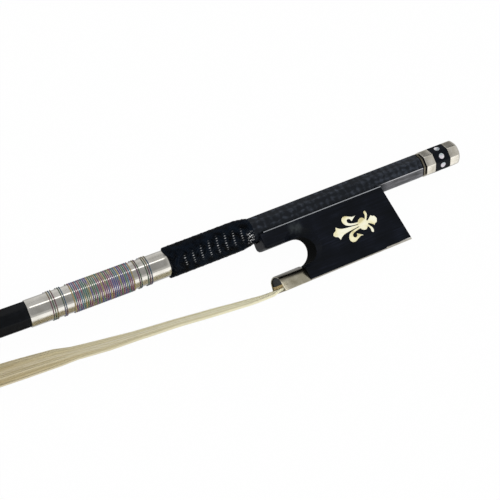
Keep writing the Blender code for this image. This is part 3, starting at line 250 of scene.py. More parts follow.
def polishedEbony():
    # Oiled and buffed ebony: almost black, with brown-black grain lines up to 0.5 mm apart along the frog. The
    # throat's wall is filed and not buffed, so it is rough, and it is painted near-black as shade. Above the
    # throat a dull grey patch is painted, a painted reflection in the dished cheek.
    material, tree = newMaterial("polishedEbony", {"Specular IOR Level": 0.09})
    grain = clouds(tree, 1.0, (90, 1900, 1900), 5.0, 0.6)
    streak = addNode(tree, "Math", [grain, clouds(tree, 140.0, detail=2.0)], operation="MULTIPLY")
    colour = addNode(tree, "ValToRGB", [streak], stops=[(0.12, "#05080D"), (0.28, "#0A0E16"),
                                                        (0.42, "#141823")])
    along, up, _ = bowAxes(tree)
    sideways = addNode(tree, "Math", [facingParts(tree)["Z"]], operation="ABSOLUTE")
    # The throat's wall: rough, and painted near-black as shade
    filedAndShaded = region(tree, (farFrom(tree, along, up, throat["centre"]), throat["radius"] + 0.6,
                          throat["radius"] + 0.2), (sideways, 0.5, 0.3))
    # Above the throat: a dull grey painted reflection in the dish
    paintedReflection = region(tree, (farFrom(tree, along, up, throat["paintedReflection"]), throat["paintedReflectionReach"], 0.4),
                    (clouds(tree, 600.0), 0.35, 0.65, 0.15, 0.9))
    buffed = addNode(tree, "Math", [grain, 0.2, 0.30], operation="MULTIPLY_ADD")
    rough = addNode(tree, "Math", [buffed, filedAndShaded], operation="MAXIMUM")
    colour = layered(tree, colour, (paintedReflection, "#353A3C"), (filedAndShaded, "#030405"))
    return finishMaterial(material, colour, (rough, 0.0, 1.0), (grain, 0.03, 0.35))


def nickelSilver(name, stops, crown=None):
    # Hand-polished nickel silver: warm grey, stained in soft clouds, with file marks 0.1 to 0.3 mm apart. One
    # that is given a crown colour has it where it faces the stick, as a painted dark reflection of the frog and
    # the stick above it.
    material, tree = newMaterial(name, {"Metallic": 1.0})
    marks = clouds(tree, 1.0, (300, 3000, 3000))
    colour = addNode(tree, "ValToRGB", [clouds(tree, 480.0, detail=4.0, rough=0.6)], stops=stops)
    if crown:
        # Painted reflection: the crown is darker where it faces the stick
        colour = layered(tree, colour, (region(tree, (facingParts(tree)["Y"], 0.25, 0.75)), crown))
    return finishMaterial(material, colour, (marks, 0.14, 0.26), (marks, 0.02, 0.35))


def pearlShell(name, stops, scale):
    # Mother of pearl, ground flat and polished: milky bands that drift with the shell's growth layers.
    material, tree = newMaterial(name, {"Specular IOR Level": 0.6, "Coat Weight": 0.5, "Coat Roughness": 0.06})
    drift = clouds(tree, scale, (1, 1.6, 1), 2.0)
    layers = addNode(tree, "TexWave", {"Vector": objectSpace(tree, turn=(0.3, 0.5, 0.9)), "Scale": scale * 0.2,
                                       "Distortion": 14.0, "Detail": 3.0}, "Fac")
    milk = addNode(tree, "Mix", {0: 0.18, 2: drift, 3: layers}, data_type="FLOAT")
    return finishMaterial(material, addNode(tree, "ValToRGB", [milk], stops=stops), (layers, 0.16, 0.30))


def horsehair():
    # Unplayed horsehair: each hair has its own cream or tan, a little darker in patches along it. The ribbon
    # is brownish where it is played, and palest by the frog, where it isn't; there it is also painted paler, as
    # painted light on the tilted ribbon.
    material, tree = newMaterial("horsehair", {"Specular IOR Level": 0.35})
    tone = addNode(tree, "Attribute", output="Fac", attribute_name="hairTone")
    patch = clouds(tree, 1.0, (30, 700, 700), 2.0)
    mixed = addNode(tree, "Mix", {0: 0.25, 2: tone, 3: patch}, data_type="FLOAT")
    colour = addNode(tree, "ValToRGB", [mixed], stops=[(0.15, "#C6B78B"), (0.38, "#E5DBB2"), (0.6, "#F6F1D2"),
                                                       (0.85, "#FEFCEE")])
    along = bowAxes(tree)[0]
    unplayed = region(tree, (along, -215, -75))
    played = addNode(tree, "ValToRGB", [unplayed], stops=[(0.0, "#CFC2AE"), (1.0, "#FFFFFF")])
    worn = addNode(tree, "Mix", {0: 1.0, 6: colour, 7: played}, 2, data_type="RGBA", blend_type="MULTIPLY")
    # Painted light: a pale cream laid over the hair by the frog
    paintedLightNearFrog = region(tree, (along, -115, -78, 0.0, 0.3))
    return finishMaterial(material, layered(tree, worn, (paintedLightNearFrog, "#FFFBD6")), (patch, 0.38, 0.55))


def plainWood(name, stops):
    # Straight-grained maple as it leaves the knife: grain lines 0.5 mm apart.
    material, tree = newMaterial(name, {"Specular IOR Level": 0.3})
    grain = clouds(tree, 1.0, (200, 1800, 1800), 4.0)
    return finishMaterial(material, addNode(tree, "ValToRGB", [grain], stops=stops), (grain, 0.5, 0.7),
                          (grain, 0.05, 0.4))


def plainSolid(name, metallic, stops, smooth, rough, scale=900.0):
    # A turned metal or a pressed sheet: fine clouds of wear 1 mm across.
    material, tree = newMaterial(name, {"Metallic": metallic})
    cloud = clouds(tree, scale)
    return finishMaterial(material, addNode(tree, "ValToRGB", [cloud], stops=stops), (cloud, smooth, rough),
                          (cloud, 0.02, 0.3))


finishes = {
    "carbon": carbonFibre(),
    "leather": embossedLeather(),
    "foil": silverFoil(),
    "thread": silkThread(),
    "ebony": polishedEbony(),
    "nickel_silver": nickelSilver("nickelSilver", [(0.25, "#C2BCAE"), (0.48, "#D4CFC3"), (0.72, "#E2DED5")]),
    "tarnished": nickelSilver("tarnishedNickelSilver", [(0.25, "#625C4F"), (0.5, "#756F61"),
                                                        (0.75, "#878173")]),
    # The ferrule's metal, with its crown painted darker as a reflection
    "worn": nickelSilver("wornNickelSilverPaintedCrown", [(0.25, "#9A937E"), (0.5, "#B2AC98"), (0.75, "#C4BEAC")],
                         "#6C675B"),
    "bright": nickelSilver("brightNickelSilver", [(0.25, "#B4B8BD"), (0.5, "#C1C5CA"), (0.75, "#CFD3D8")]),
    "gold_pearl": pearlShell("goldMotherOfPearl", [(0.32, "#D8CC94"), (0.44, "#F8F1C6"), (0.60, "#FFFDE4")],
                             240.0),
    "pearl": pearlShell("greyMotherOfPearl", [(0.26, "#8D929C"), (0.42, "#B9C6C6"), (0.54, "#D2C8D2"),
                                            (0.72, "#E9EDEA")], 420.0),
    "horsehair": horsehair(),
    "maple": plainWood("cutMaple", [(0.3, "#A58C5C"), (0.7, "#CDB98A")]),
    "fibre": plainSolid("vulcanisedFibre", 0.0, [(0.3, "#0C0C0D"), (0.7, "#191919")], 0.5, 0.6),
    "bone": plainSolid("sawnBone", 0.0, [(0.3, "#DDD6C2"), (0.7, "#F0EBDD")], 0.3, 0.45, 500.0),
    "brass": plainSolid("turnedBrass", 1.0, [(0.3, "#A98540"), (0.7, "#D0AC62")], 0.25, 0.4),
    "steel": plainSolid("turnedSteel", 1.0, [(0.3, "#8C8D90"), (0.7, "#B4B5B8")], 0.25, 0.4),
}
print("materials made:", len(finishes))

nodeFinish = {row["node"]: row["material_slot"] for row in frame["record"]["subparts"]}
for nodeName, node in frame["nodes"].items():
    node.data.materials.clear()
    node.data.materials.append(finishes["bright" if nodeName == "frog_liner" else nodeFinish[nodeName]])


def newObject(name, data):
    # An object for a mesh, a lamp or a camera, in the scene.
    thing = bpy.data.objects.new(name, data)
    bpy.context.scene.collection.objects.link(thing)
    return thing


def meshOf(name, points, faces):
    # A mesh of points in millimetres in the bow's frame.
    mesh = bpy.data.meshes.new(name)
    mesh.from_pydata(toFrame(points.reshape(-1, 3)).tolist(), [], faces)
    mesh.update()
    return mesh


def quadsOf(index):
    # The four corners of each cell in grids of point numbers, whose last two axes are rows and columns.
    corners = [index[..., :-1, :-1], index[..., :-1, 1:], index[..., 1:, 1:], index[..., 1:, :-1]]
    return np.stack(corners, axis=-1).reshape(-1, 4).tolist()


def gridMesh(name, points, roundAcross=True, roundAlong=False, caps=False):
    # Quads over a grid of points (rows, columns, 3), closed round its columns, its rows or both, or capped.
    rows, columns = points.shape[:2]
    index = np.arange(rows * columns).reshape(rows, columns)
    ends = [index[0, ::-1].tolist(), index[-1].tolist()] if caps else []
    if roundAcross:
        index = np.concatenate([index, index[:, :1]], axis=1)
    if roundAlong:
        index = np.concatenate([index, index[:1]], axis=0)
    return meshOf(name, points, quadsOf(index) + ends)


def turnOutwards(mesh):
    # Every face turned so that its normal points away from the inside.
    work = bmesh.new()
    work.from_mesh(mesh)
    bmesh.ops.recalc_face_normals(work, faces=work.faces[:])
    work.to_mesh(mesh)
    work.free()


def addPiece(name, mesh, finish, body, node, sharpAngle=0, turn=True):
    # A finished piece in place of a node: turned outwards, smooth but for its sharp edges, riding on its body.
    if turn:
        turnOutwards(mesh)
    mesh.materials.clear()
    mesh.materials.append(finishes[finish])
    mesh.shade_smooth()
    if sharpAngle:
        mesh.set_sharp_from_angle(angle=math.radians(sharpAngle))
    piece = newObject(name, mesh)
    if body:
        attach(piece, body)
    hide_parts(node)
    return piece


handle = {"half": 4.3, "end": 1.65, "camberStart": 70.0, "camberRadius": 3185.0, "roundStart": 185.0,
          "roundEnd": 235.0, "tip": 2.7, "cornerPower": 110.0, "bore": 1.95, "boreLength": 63.0, "rows": 92}
ferrulePlace = {"mouth": -69.8, "length": 10.1, "wall": 0.45, "shoulder": 4.45, "shoulderWidth": 10.4,
                "bottom": 23.9, "bottomWidth": 13.56, "crown": 17.8, "hairRise": 1.05, "corner": 0.35,
                "shoulderBend": 1.4}
hairReach = 634.0
headX = ferrulePlace["mouth"] - hairReach

cornerOffsets = np.radians([-22.5, -14, -8, -5, -3, -1, 1, 3, 5, 8, 14])
roundAngles = (np.arange(8)[:, None] * tau / 8 + tau / 16 + cornerOffsets[None, :]).ravel()


def octagonRadius(angle, half, power=handle["cornerPower"]):
    # Half the width over a power mean of the eight facets' cosines: an octagon with softened corners.
    facing = np.maximum(np.cos(angle[..., None] - np.arange(8) * tau / 8), 0)
    return half / (facing ** power).sum(-1) ** (1 / power)


def sectionRadius(half, roundness, power=handle["cornerPower"]):
    # An octagon's radius, blended into the circle's by how round it is.
    return half * ((1 - roundness) * octagonRadius(roundAngles, 1.0, power) + roundness)


def camberAt(x):
    # Height and slope of the stick's axis: straight, then an arc of a large circle.
    beyond = np.maximum(0, -handle["camberStart"] - x)
    fall = np.sqrt(handle["camberRadius"] ** 2 - beyond ** 2)
    return handle["camberRadius"] - fall, np.arctan2(beyond, fall)


def stickHalf(x):
    # Half the stick's width, tapered evenly from the handle to the head, and how round it has become.
    beyond = -x - handle["roundStart"]
    share = np.clip(beyond / (-headX - handle["roundStart"]), 0, 1)
    roundness = np.clip(beyond / (handle["roundEnd"] - handle["roundStart"]), 0, 1)
    return handle["half"] + (handle["tip"] - handle["half"]) * share, roundness


def aroundStick(x, radius, angles):
    # Points at a radius and an angle round the stick's axis, square to it. It is straight at the button.
    height, slope = camberAt(x)
    up = radius * np.cos(angles)
    parts = np.broadcast_arrays(x + up * np.sin(slope), height + up * np.cos(slope), radius * np.sin(angles))
    return np.stack(parts, axis=-1)


def stickLoops(xs, extra=0.0, power=handle["cornerPower"]):
    # Sections of the stick, grown by extra.
    x = np.asarray(xs, float)[:, None]
    half, roundness = stickHalf(x)
    grown = half + np.asarray(extra, float).reshape(-1, 1)
    return aroundStick(x, sectionRadius(grown, roundness, power), roundAngles)


# A bend says how far its curve's first handle reaches, in necks, and where the second one stands
head = {"height": 19.5, "length": 24.5, "width": 10.2, "neck": 16.0, "beak": 0.5, "rows": 60,
        "backBend": (0.72, -0.3, 0.47), "frontBend": (1.12, 0.7, 1.13), "squareness": 2.2,
        "mortiseStart": 3.9, "mortiseLength": 8.5, "mortiseWidth": 6.4, "mortiseDepth": 8.6}
mortiseMiddle = head["mortiseStart"] + head["mortiseLength"] / 2
hairY = -ferrulePlace["bottom"] + ferrulePlace["hairRise"]
headFoot = np.array([headX, float(camberAt(np.array(headX))[0]) - head["height"]])
hairAngle = math.atan2(headFoot[1] - hairY, hairReach)
toTip = np.array([-math.cos(hairAngle), math.sin(hairAngle)])
fromHair = np.array([math.sin(hairAngle), math.cos(hairAngle)])
neckX = headFoot[0] + head["neck"] * math.cos(hairAngle)


def headPoints(forward, up, side):
    # Places in the head from its hair face's back corner: forward to the tip, up from the hair, and across.
    forward, up, side = (np.asarray(part, float)[..., None] for part in (forward, up, side))
    return np.concatenate([headFoot + forward * toTip + up * fromHair, side], axis=-1)


def bezierAt(points, share):
    # The sum of the points, each by its binomial weight at that share of the curve.
    last = len(points) - 1
    s = share[:, None]
    return sum(np.asarray(point, float) * math.comb(last, i) * (1 - s) ** (last - i) * s ** i
               for i, point in enumerate(points))


def headLoops(share):
    # Sections from square to the stick to the hair face: ovals that grow squarer, with a narrow front.
    height, slope = camberAt(np.array(neckX))
    half = float(stickHalf(np.array(neckX))[0])
    flat = np.array([neckX, float(height)]) - headFoot
    axis = np.array([flat @ toTip, flat @ fromHair])
    lean = float(slope) - hairAngle
    across = np.array([-math.sin(lean), math.cos(lean)])
    ahead = np.array([math.cos(lean), math.sin(lean)])
    back, front = axis - across * half, axis + across * half
    neck, tall, long = head["neck"], head["height"], head["length"]
    reach, endX, endY = head["backBend"]
    low = bezierAt((back, back + ahead * reach * neck, (endX, endY * tall), (0, 0)), share)[:, None]
    reach, endX, endY = head["frontBend"]
    frontPoints = (front, front + ahead * reach * neck, (endX * long, endY * tall), (long, 0))
    high = bezierAt(frontPoints, share)[:, None]
    ease = (share * share * (3 - 2 * share))[:, None]
    width = 2 * half + (head["width"] - 2 * half) * ease
    power = 2 / (2 + head["squareness"] * ease)
    along, side = (np.sign(wave) * np.abs(wave) ** power for wave in (np.cos(roundAngles), np.sin(roundAngles)))
    side = side * (1 - head["beak"] * ease * ((1 + along) / 2) ** 2)
    middle = (low + high) / 2 + (high - low) / 2 * along[..., None]
    return headPoints(middle[..., 0], middle[..., 1], side * width / 2)


def boxCutter(name, middle, size, turn=0.0):
    # A block to cut with, turned in the plane of the bow.
    mesh = bpy.data.meshes.new(name)
    work = bmesh.new()
    bmesh.ops.create_cube(work, size=1, matrix=Matrix.Diagonal((*[s * mm for s in size], 1)))
    work.to_mesh(mesh)
    work.free()
    mesh.transform(Matrix.Translation(Vector(toFrame(middle))) @ Matrix.Rotation(turn, 4, "Z"))
    return newObject(name, mesh)


def cutWith(mesh, cutters):
    # The mesh with each cutter taken out of it.
    holder = newObject("holder", mesh)
    for cutter in cutters:
        step = holder.modifiers.new("cut", "BOOLEAN")
        step.solver = "EXACT"
        step.object = cutter
    graph = bpy.context.evaluated_depsgraph_get()
    made = bpy.data.meshes.new_from_object(holder.evaluated_get(graph))
    for leftover in [holder, *cutters]:
        bpy.data.objects.remove(leftover, do_unlink=True)
    return made


slot = {"eyelet": -47.5, "eyeletLength": 5.2, "travel": 5.6, "play": 1.0, "middle": -3.5, "height": 13.0,
        "width": 5.5, "mortiseExtra": 4.0}


def buildStick():
    # One skin: out of the bore, round the end, along the outside and over the head. It is cut for the eyelet,
    # whose slot is as long as the eyelet, its travel and some play, and for the hair.
    end, camberX = -handle["end"], -handle["camberStart"]
    bore = aroundStick(np.array([[-handle["boreLength"]], [end - 0.1]]), handle["bore"], roundAngles)
    face = stickLoops([end, end - 0.06, end - 0.22], [-0.22, -0.06, 0.0])
    body = stickLoops([-20.0, -50.0, camberX, *np.linspace(camberX, neckX, handle["rows"])[1:-1]])
    shares = np.linspace(0, 1, head["rows"] + 1)
    mesh = gridMesh("stickSkin", np.concatenate([bore, face, body, headLoops(shares)]), caps=True)
    turnOutwards(mesh)
    slotLength = slot["eyeletLength"] + slot["travel"] + slot["play"]
    slotCutter = boxCutter("slotCutter", (slot["eyelet"] + slot["travel"] / 2, slot["middle"], 0),
                           (slotLength, slot["height"], slot["width"]))
    depth = head["mortiseDepth"] + slot["mortiseExtra"]
    mortise = boxCutter("mortiseCutter", headPoints(mortiseMiddle, head["mortiseDepth"] - depth / 2, 0),
                        (head["mortiseLength"], depth, head["mortiseWidth"]), -hairAngle)
    mesh = cutWith(mesh, [slotCutter, mortise])
    addPiece("carbonStick", mesh, "carbon", "bow_stick", "stick", 28, turn=False)


headSheets = {
    "head_liner": {"name": "headLining", "finish": "fibre", "drop": 0.01, "thick": 0.68, "edge": 0.02},
    "head_plate": {"name": "headFacing", "finish": "bone", "drop": 0.7, "thick": 0.8, "edge": 0.15},
}


def buildHeadSheet(node, name, finish, drop, thick, edge):
    # The hair face's outline carried down by the sheet's thickness, round a softened edge, in to the mortise's
    # window along rays from its middle, and back up.
    outline = headLoops(np.array([1.0]))[0]
    forward, side = (outline[:, :2] - headFoot) @ toTip, outline[:, 2]
    half = np.array([head["mortiseLength"], head["mortiseWidth"]]) / 2
    rays = np.stack([forward - mortiseMiddle, side], axis=-1)
    window = rays / (np.abs(rays) / half).max(axis=1, keepdims=True)
    for corner in half * np.array([[1, 1], [1, -1], [-1, 1], [-1, -1]]):
        window[np.argmin(np.linalg.norm(window - corner, axis=1))] = corner
    centre = head["length"] / 2
    inset = (centre + (forward - centre) * (1 - edge / centre), side * (1 - 2 * edge / head["width"]))
    opening = (window[:, 0] + mortiseMiddle, window[:, 1])
    loops = [((forward, side), drop), ((forward, side), drop + thick - edge), (inset, drop + thick),
             (opening, drop + thick), (opening, drop)]
    points = np.stack([headPoints(ahead, np.full(len(side), -down), across) for (ahead, across), down in loops])
    addPiece(name, gridMesh(name, points, roundAlong=True), finish, "bow_stick", node, 28)


buildStick()
for sheetNode, sheet in headSheets.items():
    buildHeadSheet(sheetNode, **sheet)
print("stick done")

# The inner rows give a share of the length, and half the width there
# The thumb's angle and the settings after it, up to the grid's size, place the painted glints
leather = {"start": 71.6, "length": 31.9, "thick": 1.2, "thin": 0.4, "taper": 6.5, "lip": 0.6, "lipDrop": 0.55,
           "cornerPower": 60, "square": 0.45, "inner": [(1.0, 4.72), (0.94, 4.42), (0.0, 4.42)],
           "girthRadius": 5.3, "rowPitch": 3.1, "rowHalf": 0.34, "beadPitch": 0.80, "beadHeight": 0.13,
           "grainPitch": 0.95, "grainHeight": 0.06, "creaseHeight": 0.10, "creaseReach": 3.2,
           "thumbAngle": 1.69, "paintedGlintEnd": 28, "glintStart": 3.4, "topsLevel": 0.014,
           "columns": 300, "rows": 250}


def leatherRows(far, angles):
    # Which row of beads a place belongs to, and how near it is to the row's crest. The rows wander a little.
    setup = leather
    phase = far / setup["rowPitch"] + 0.5 + 0.06 * np.sin(2 * angles + 0.5) + 0.05 * np.sin(5 * angles + 2)
    row = np.round(phase)
    return row, np.exp(-((phase - row) * setup["rowPitch"] / setup["rowHalf"]) ** 2)


def paintedLeatherGlints(far, angles, beads):
    # How much painted highlight each place gets: glints on the beads and creases on the thumb's side,
    # and a little on the tops of the grain.
    setup = leather
    row, ridge = leatherRows(far, angles)
    # The glints are painted on the beads on the thumb's side, over a wider stretch towards the frog
    reach = np.radians(19 + 12 * np.exp(-((far - 13.0) / 7.0) ** 2))
    thumb = setup["thumbAngle"] + 0.22 * np.clip((far - 10) / 16, 0, 1)
    paintedReflection = np.exp(-(np.abs(angles - thumb) / reach) ** 6) * (far < setup["paintedGlintEnd"])
    uneven = 0.55 + 0.45 * np.sin(angles * 37 + 5.0 * row) * np.cos(angles * 23 - 3.0 * row)
    glints = paintedReflection * uneven * ridge ** 2 * np.clip(beads * 3.4 - 2.4, 0, 1) * (far > setup["glintStart"])
    # By the frog the leather is creased, and a patch of glints is painted there
    patch = np.exp(-((far - 1.7) / 1.2) ** 4 - (np.abs(angles - setup["thumbAngle"] - 0.42) / 0.42) ** 6)
    fine = np.cos(far * tau / 1.25 + 1.3 * np.sin(9 * angles)) * np.cos(angles * 27 + 2.0 * np.sin(far * 3.1))
    # Between the rows a little painted highlight on the grain's tops, most on the thumb's side
    side = 0.25 + 0.75 * np.exp(-(np.abs(angles - setup["thumbAngle"] - 0.25) / 0.75) ** 4)
    pattern = (np.cos(far * tau / 0.9 + 2.2 * np.sin(angles * 7))
               * np.cos(angles * 31 + 1.7 * np.sin(far * 2.3)))
    tops = setup["topsLevel"] * side * np.clip(pattern * 2 - 0.7, 0, 1)
    return np.clip(np.maximum(glints + patch * np.clip(fine * 7 - 3.2, 0, 1), tops), 0, 1)


def buildLeather():
    # A sleeve whose radius is the rounded octagon plus the leather, its rows of beads, its finer grain and the
    # creases by the frog. It thins to the frog, and its far end is an uneven rounded lip.
    setup = leather
    length = setup["length"]
    angles = np.linspace(0, tau, setup["columns"], endpoint=False)[None, :]
    far = np.linspace(0, length, setup["rows"])[:, None]
    wave = 0.45 * np.sin(2 * angles + 0.7) + 0.28 * np.sin(3 * angles - 1.1) + 0.12 * np.sin(5 * angles)
    rise = np.clip(far / setup["taper"], 0, 1)
    thick = setup["thin"] + (setup["thick"] - setup["thin"]) * np.sin(np.pi / 2 * rise)
    lip = np.clip((length - far) / setup["lip"], 0, 1)
    thick = thick - setup["lipDrop"] * (1 - np.sqrt(np.maximum(0, 1 - (1 - lip) ** 2)))
    half = handle["half"] + thick - setup["beadHeight"]
    octagon = octagonRadius(angles, 1.0, setup["cornerPower"])
    girth = tau * setup["girthRadius"]
    row, ridge = leatherRows(far, angles)
    beads = 0.5 + 0.5 * np.cos(angles * round(girth / setup["beadPitch"]) + 1.7 * row)
    cells = (np.cos(far * tau / setup["grainPitch"] + 2.0 * np.sin(3 * angles))
             * np.cos(angles * round(girth) + far * 0.8))
    creases = np.cos(far * 5.1 + 2 * np.sin(angles * 4)) * np.cos(angles * 26 + far * 2.0)
    relief = (setup["beadHeight"] * ridge * (0.35 + 0.65 * beads) + setup["grainHeight"] * cells * (1 - ridge)
              + setup["creaseHeight"] * np.exp(-((far - 3.2) / setup["creaseReach"]) ** 2) * creases)
    shares, inside = (np.array(column)[:, None] for column in zip(*setup["inner"]))
    loops = []
    for place, radius in ((far, half * (setup["square"] * octagon + 1 - setup["square"]) + relief),
                          (length * shares, inside * octagon)):
        x = -(setup["start"] + place) - wave * (place / length) ** 12
        loops.append(aroundStick(x, radius, angles))
    mesh = gridMesh("leatherSkin", np.concatenate(loops), roundAlong=True)
    # The painted glints, per point, for the material to lay pale over the black
    paintedGlints = np.concatenate([paintedLeatherGlints(far, angles, beads), np.zeros((len(inside), setup["columns"]))])
    mesh.attributes.new("paintedGlints", "FLOAT", "POINT").data.foreach_set("value", paintedGlints.astype(np.float32).ravel())
    addPiece("leatherGrip", mesh, "leather", "bow_stick", "leather_grip", 60)


buildLeather()

foil = {"start": 103.6, "length": 49.3, "thick": 0.26, "gap": 0.1, "cornerPower": 17.0, "innerPower": 26.0,
        "rows": 40, "edgeDrops": (0.12, 0.03)}
foilGrown = foil["thick"] + foil["gap"]
foilHalf = handle["half"] + foilGrown


def buildFoil():
    # The foil follows the octagon, and its two ends turn in by a rounded edge.
    start, end = foil["start"], foil["start"] + foil["length"]
    xs = -np.array([start, start + 0.05, *np.linspace(start + 0.2, end - 0.2, foil["rows"]), end - 0.05, end])
    extra = np.full(len(xs), foilGrown)
    for number, drop in enumerate(foil["edgeDrops"]):
        extra[number] = extra[-1 - number] = foilGrown - drop
    outer = stickLoops(xs, extra, foil["cornerPower"])
    inner = stickLoops([-end, -start], [foil["gap"], foil["gap"]], foil["innerPower"])
    mesh = gridMesh("foilSkin", np.concatenate([outer, inner]), roundAlong=True)
    addPiece("lappingFoil", mesh, "foil", "bow_stick", "lapping_sleeve", 40)


buildFoil()

dyes = ["#2C6F66", "#7A3A6E", "#4E704A", "#50468C", "#A08E52", "#366A8C", "#843F5C"]
wound = {"perTurn": 56, "sides": 6, "startAngle": 0.13, "radius": 5.0, "gap": 0.02, "dyeSteps": 400}
band = {"thread": 0.36, "depth": 1.0}
accent = {"thread": 0.32, "depth": 0.5}
windings = {
    "lapping_thread": {"start": 116.8, "turns": 34, "length": 21.5, "dyeLength": 6.1, **band},
    "accent_thread_1": {"start": 110.4, "turns": 3, "length": 2.1, "dyeLength": 7.0, **accent},
    "accent_thread_2": {"start": 114.25, "turns": 2, "length": 1.2, "dyeLength": 8.0, **accent},
    "accent_thread_3": {"start": 140.6, "turns": 2, "length": 1.2, "dyeLength": 7.5, **accent},
    "accent_thread_4": {"start": 143.7, "turns": 3, "length": 2.1, "dyeLength": 6.5, **accent},
}


def buildWinding(node, start, turns, length, thread, dyeLength, depth):
    # A helix that follows the foil's octagon, with a hexagon carried along it. The dye changes by length, from
    # one colour of a drawn row to the next, and depth scales it.
    perTurn, sides = wound["perTurn"], wound["sides"]
    count = turns * perTurn + 1
    turnAngle = np.arange(count) * tau / perTurn + wound["startAngle"]
    centreX = -(start + length * np.arange(count) / (count - 1))
    thick = thread / 2
    radius = octagonRadius(turnAngle, foilHalf + thick + wound["gap"], foil["cornerPower"])
    section = np.arange(sides) * tau / sides
    skin = aroundStick(centreX[:, None] + thick * np.sin(section), radius[:, None] + thick * np.cos(section),
                       turnAngle[:, None])
    mesh = gridMesh(node + "Skin", skin, caps=True)
    palette = np.array([fromHex(code) for code in dyes])[rng.integers(0, len(dyes), wound["dyeSteps"])]
    travelled = turnAngle * wound["radius"] / dyeLength
    low = np.floor(travelled).astype(int)
    share = np.clip((travelled - low - 0.35) / 0.3, 0, 1)[:, None]
    colour = palette[low] * (1 - share) + palette[low + 1] * share
    colour[:, :3] *= depth
    dye = mesh.color_attributes.new("dye", "FLOAT_COLOR", "POINT")
    dye.data.foreach_set("color", np.repeat(colour, sides, axis=0).ravel())
    name = "".join(word.capitalize() for word in node.split("_"))
    addPiece("wound" + name, mesh, "thread", "bow_stick", node)


for windingNode, winding in windings.items():
    buildWinding(windingNode, **winding)
print("handle wraps done")

# The button's pieces are octagonal, and turned about the screw's axis
button = {"half": 4.485, "neck": 3.6, "ringEdge": 0.13, "frontRing": 3.83, "coreStart": 3.93, "coreEnd": 10.16,
          "groove": 0.12, "neckStart": -1.25, "neckBeyond": 2.8, "neckHole": 0.6, "rearStart": 10.26,
          "end": 14.82, "rearEdge": 0.8, "rearEndHalf": 3.95, "turnedLength": 1.6, "turnedRatio": 1.09,
          "softness": 24.0, "rim": 3.7, "seatEdge": 2.75, "seat": 2.6, "seatDepth": 0.8, "stop": 1.2,
          "eye": 2.5, "eyeRise": 0.1, "eyeDepth": 0.5, "dot": 1.25, "dotRise": 0.10, "dotDepth": 0.6}
rings = {
    "button_front_ring": {"name": "frontRing", "start": 0.0, "end": button["frontRing"], "half": button["half"],
                          "edge": button["ringEdge"], "finish": "nickel_silver"},
    "button_collar": {"name": "collarRing", "start": -1.25, "end": -0.6, "half": 4.2, "edge": 0.1,
                      "finish": "tarnished"},
}
axisHole = 0.02


def roundedEdge(depth, steps):
    # A quarter circle in a square corner, as steps back from the end and in from the side.
    return [(depth * (1 - math.cos(a)), depth * (1 - math.sin(a))) for a in np.linspace(0, math.pi / 2, steps)]


def buttonLoops(profile):
    # Sections at each x of the profile: (x, half width, roundness from an octagon to a circle).
    xs, halves, roundness = (np.array(column, float)[:, None] for column in zip(*profile))
    return aroundStick(xs, sectionRadius(halves, roundness), roundAngles)


def buildRing(node, name, start, end, half, edge, finish):
    # An octagonal ring with rounded edges and a round bore.
    front = [(start + back, half - down, 0.0) for back, down in roundedEdge(edge, 5)]
    rear = [(start + end - x, h, r) for x, h, r in front[::-1]]
    bore = [(end, button["neck"], 1.0), (start, button["neck"], 1.0)]
    mesh = gridMesh(name, buttonLoops(front + rear + bore), roundAlong=True)
    addPiece(name, mesh, finish, "screw_button", node, 40)


def buildRearRing():
    # An octagonal cup whose end is turned round: the smaller of the octagon and a cone, softly joined.
    setup = button
    start, end, neck = setup["rearStart"], setup["end"], setup["neck"]
    profile = [(start + back, setup["half"] - down) for back, down in roundedEdge(setup["ringEdge"], 5)]
    profile += [(x, setup["half"]) for x in np.linspace(end - setup["turnedLength"], end, 26)]
    xs, halves = (np.array(column)[:, None] for column in zip(*profile))
    flat = halves * octagonRadius(roundAngles, 1.0)
    slope = (setup["half"] * setup["turnedRatio"] - setup["rearEndHalf"]) / setup["rearEdge"]
    cone = setup["rearEndHalf"] + (end - xs) * slope
    soft = setup["softness"]
    outer = aroundStick(xs, (flat ** -soft + cone ** -soft) ** (-1 / soft), roundAngles)
    seat, stop = end - setup["seatDepth"], end - setup["stop"]
    inner = [(end, setup["rim"]), (end - 0.03, setup["seatEdge"]), (end - 0.1, setup["seat"]),
             (seat, setup["seat"]), (seat, axisHole), (stop, axisHole), (stop, neck), (start, neck)]
    points = np.concatenate([outer, buttonLoops([(x, half, 1.0) for x, half in inner])])
    mesh = gridMesh("rearRing", points, roundAlong=True)
    addPiece("rearRing", mesh, "nickel_silver", "screw_button", "button_rear_ring", 40)


def buildDisc(name, node, centre, facing, radius, rise, depth):
    # A slightly domed disc: rings whose height falls with the square of their radius, then an edge and a back.
    segments = 36
    facing = np.asarray(facing, float)
    across = np.array([1.0, 0.0, 0.0]) if abs(facing[0]) < 0.5 else np.array([0.0, 1.0, 0.0])
    other = np.cross(facing, across)
    shares = np.array([0.02, 0.3, 0.55, 0.75, 0.9, 0.97, 1.0])
    heights = rise * (1 - shares ** 2)
    heights[-2:] -= [0.01, 0.05]
    radii = np.concatenate([shares * radius, [radius, axisHole]])
    heights = np.concatenate([heights, [-depth, -depth]])
    angles = np.arange(segments) * tau / segments
    spokes = np.cos(angles)[:, None] * across + np.sin(angles)[:, None] * other
    points = np.asarray(centre, float) + heights[:, None, None] * facing + radii[:, None, None] * spokes
    addPiece(name, gridMesh(name, points, caps=True), "pearl", "screw_button", node, 40)


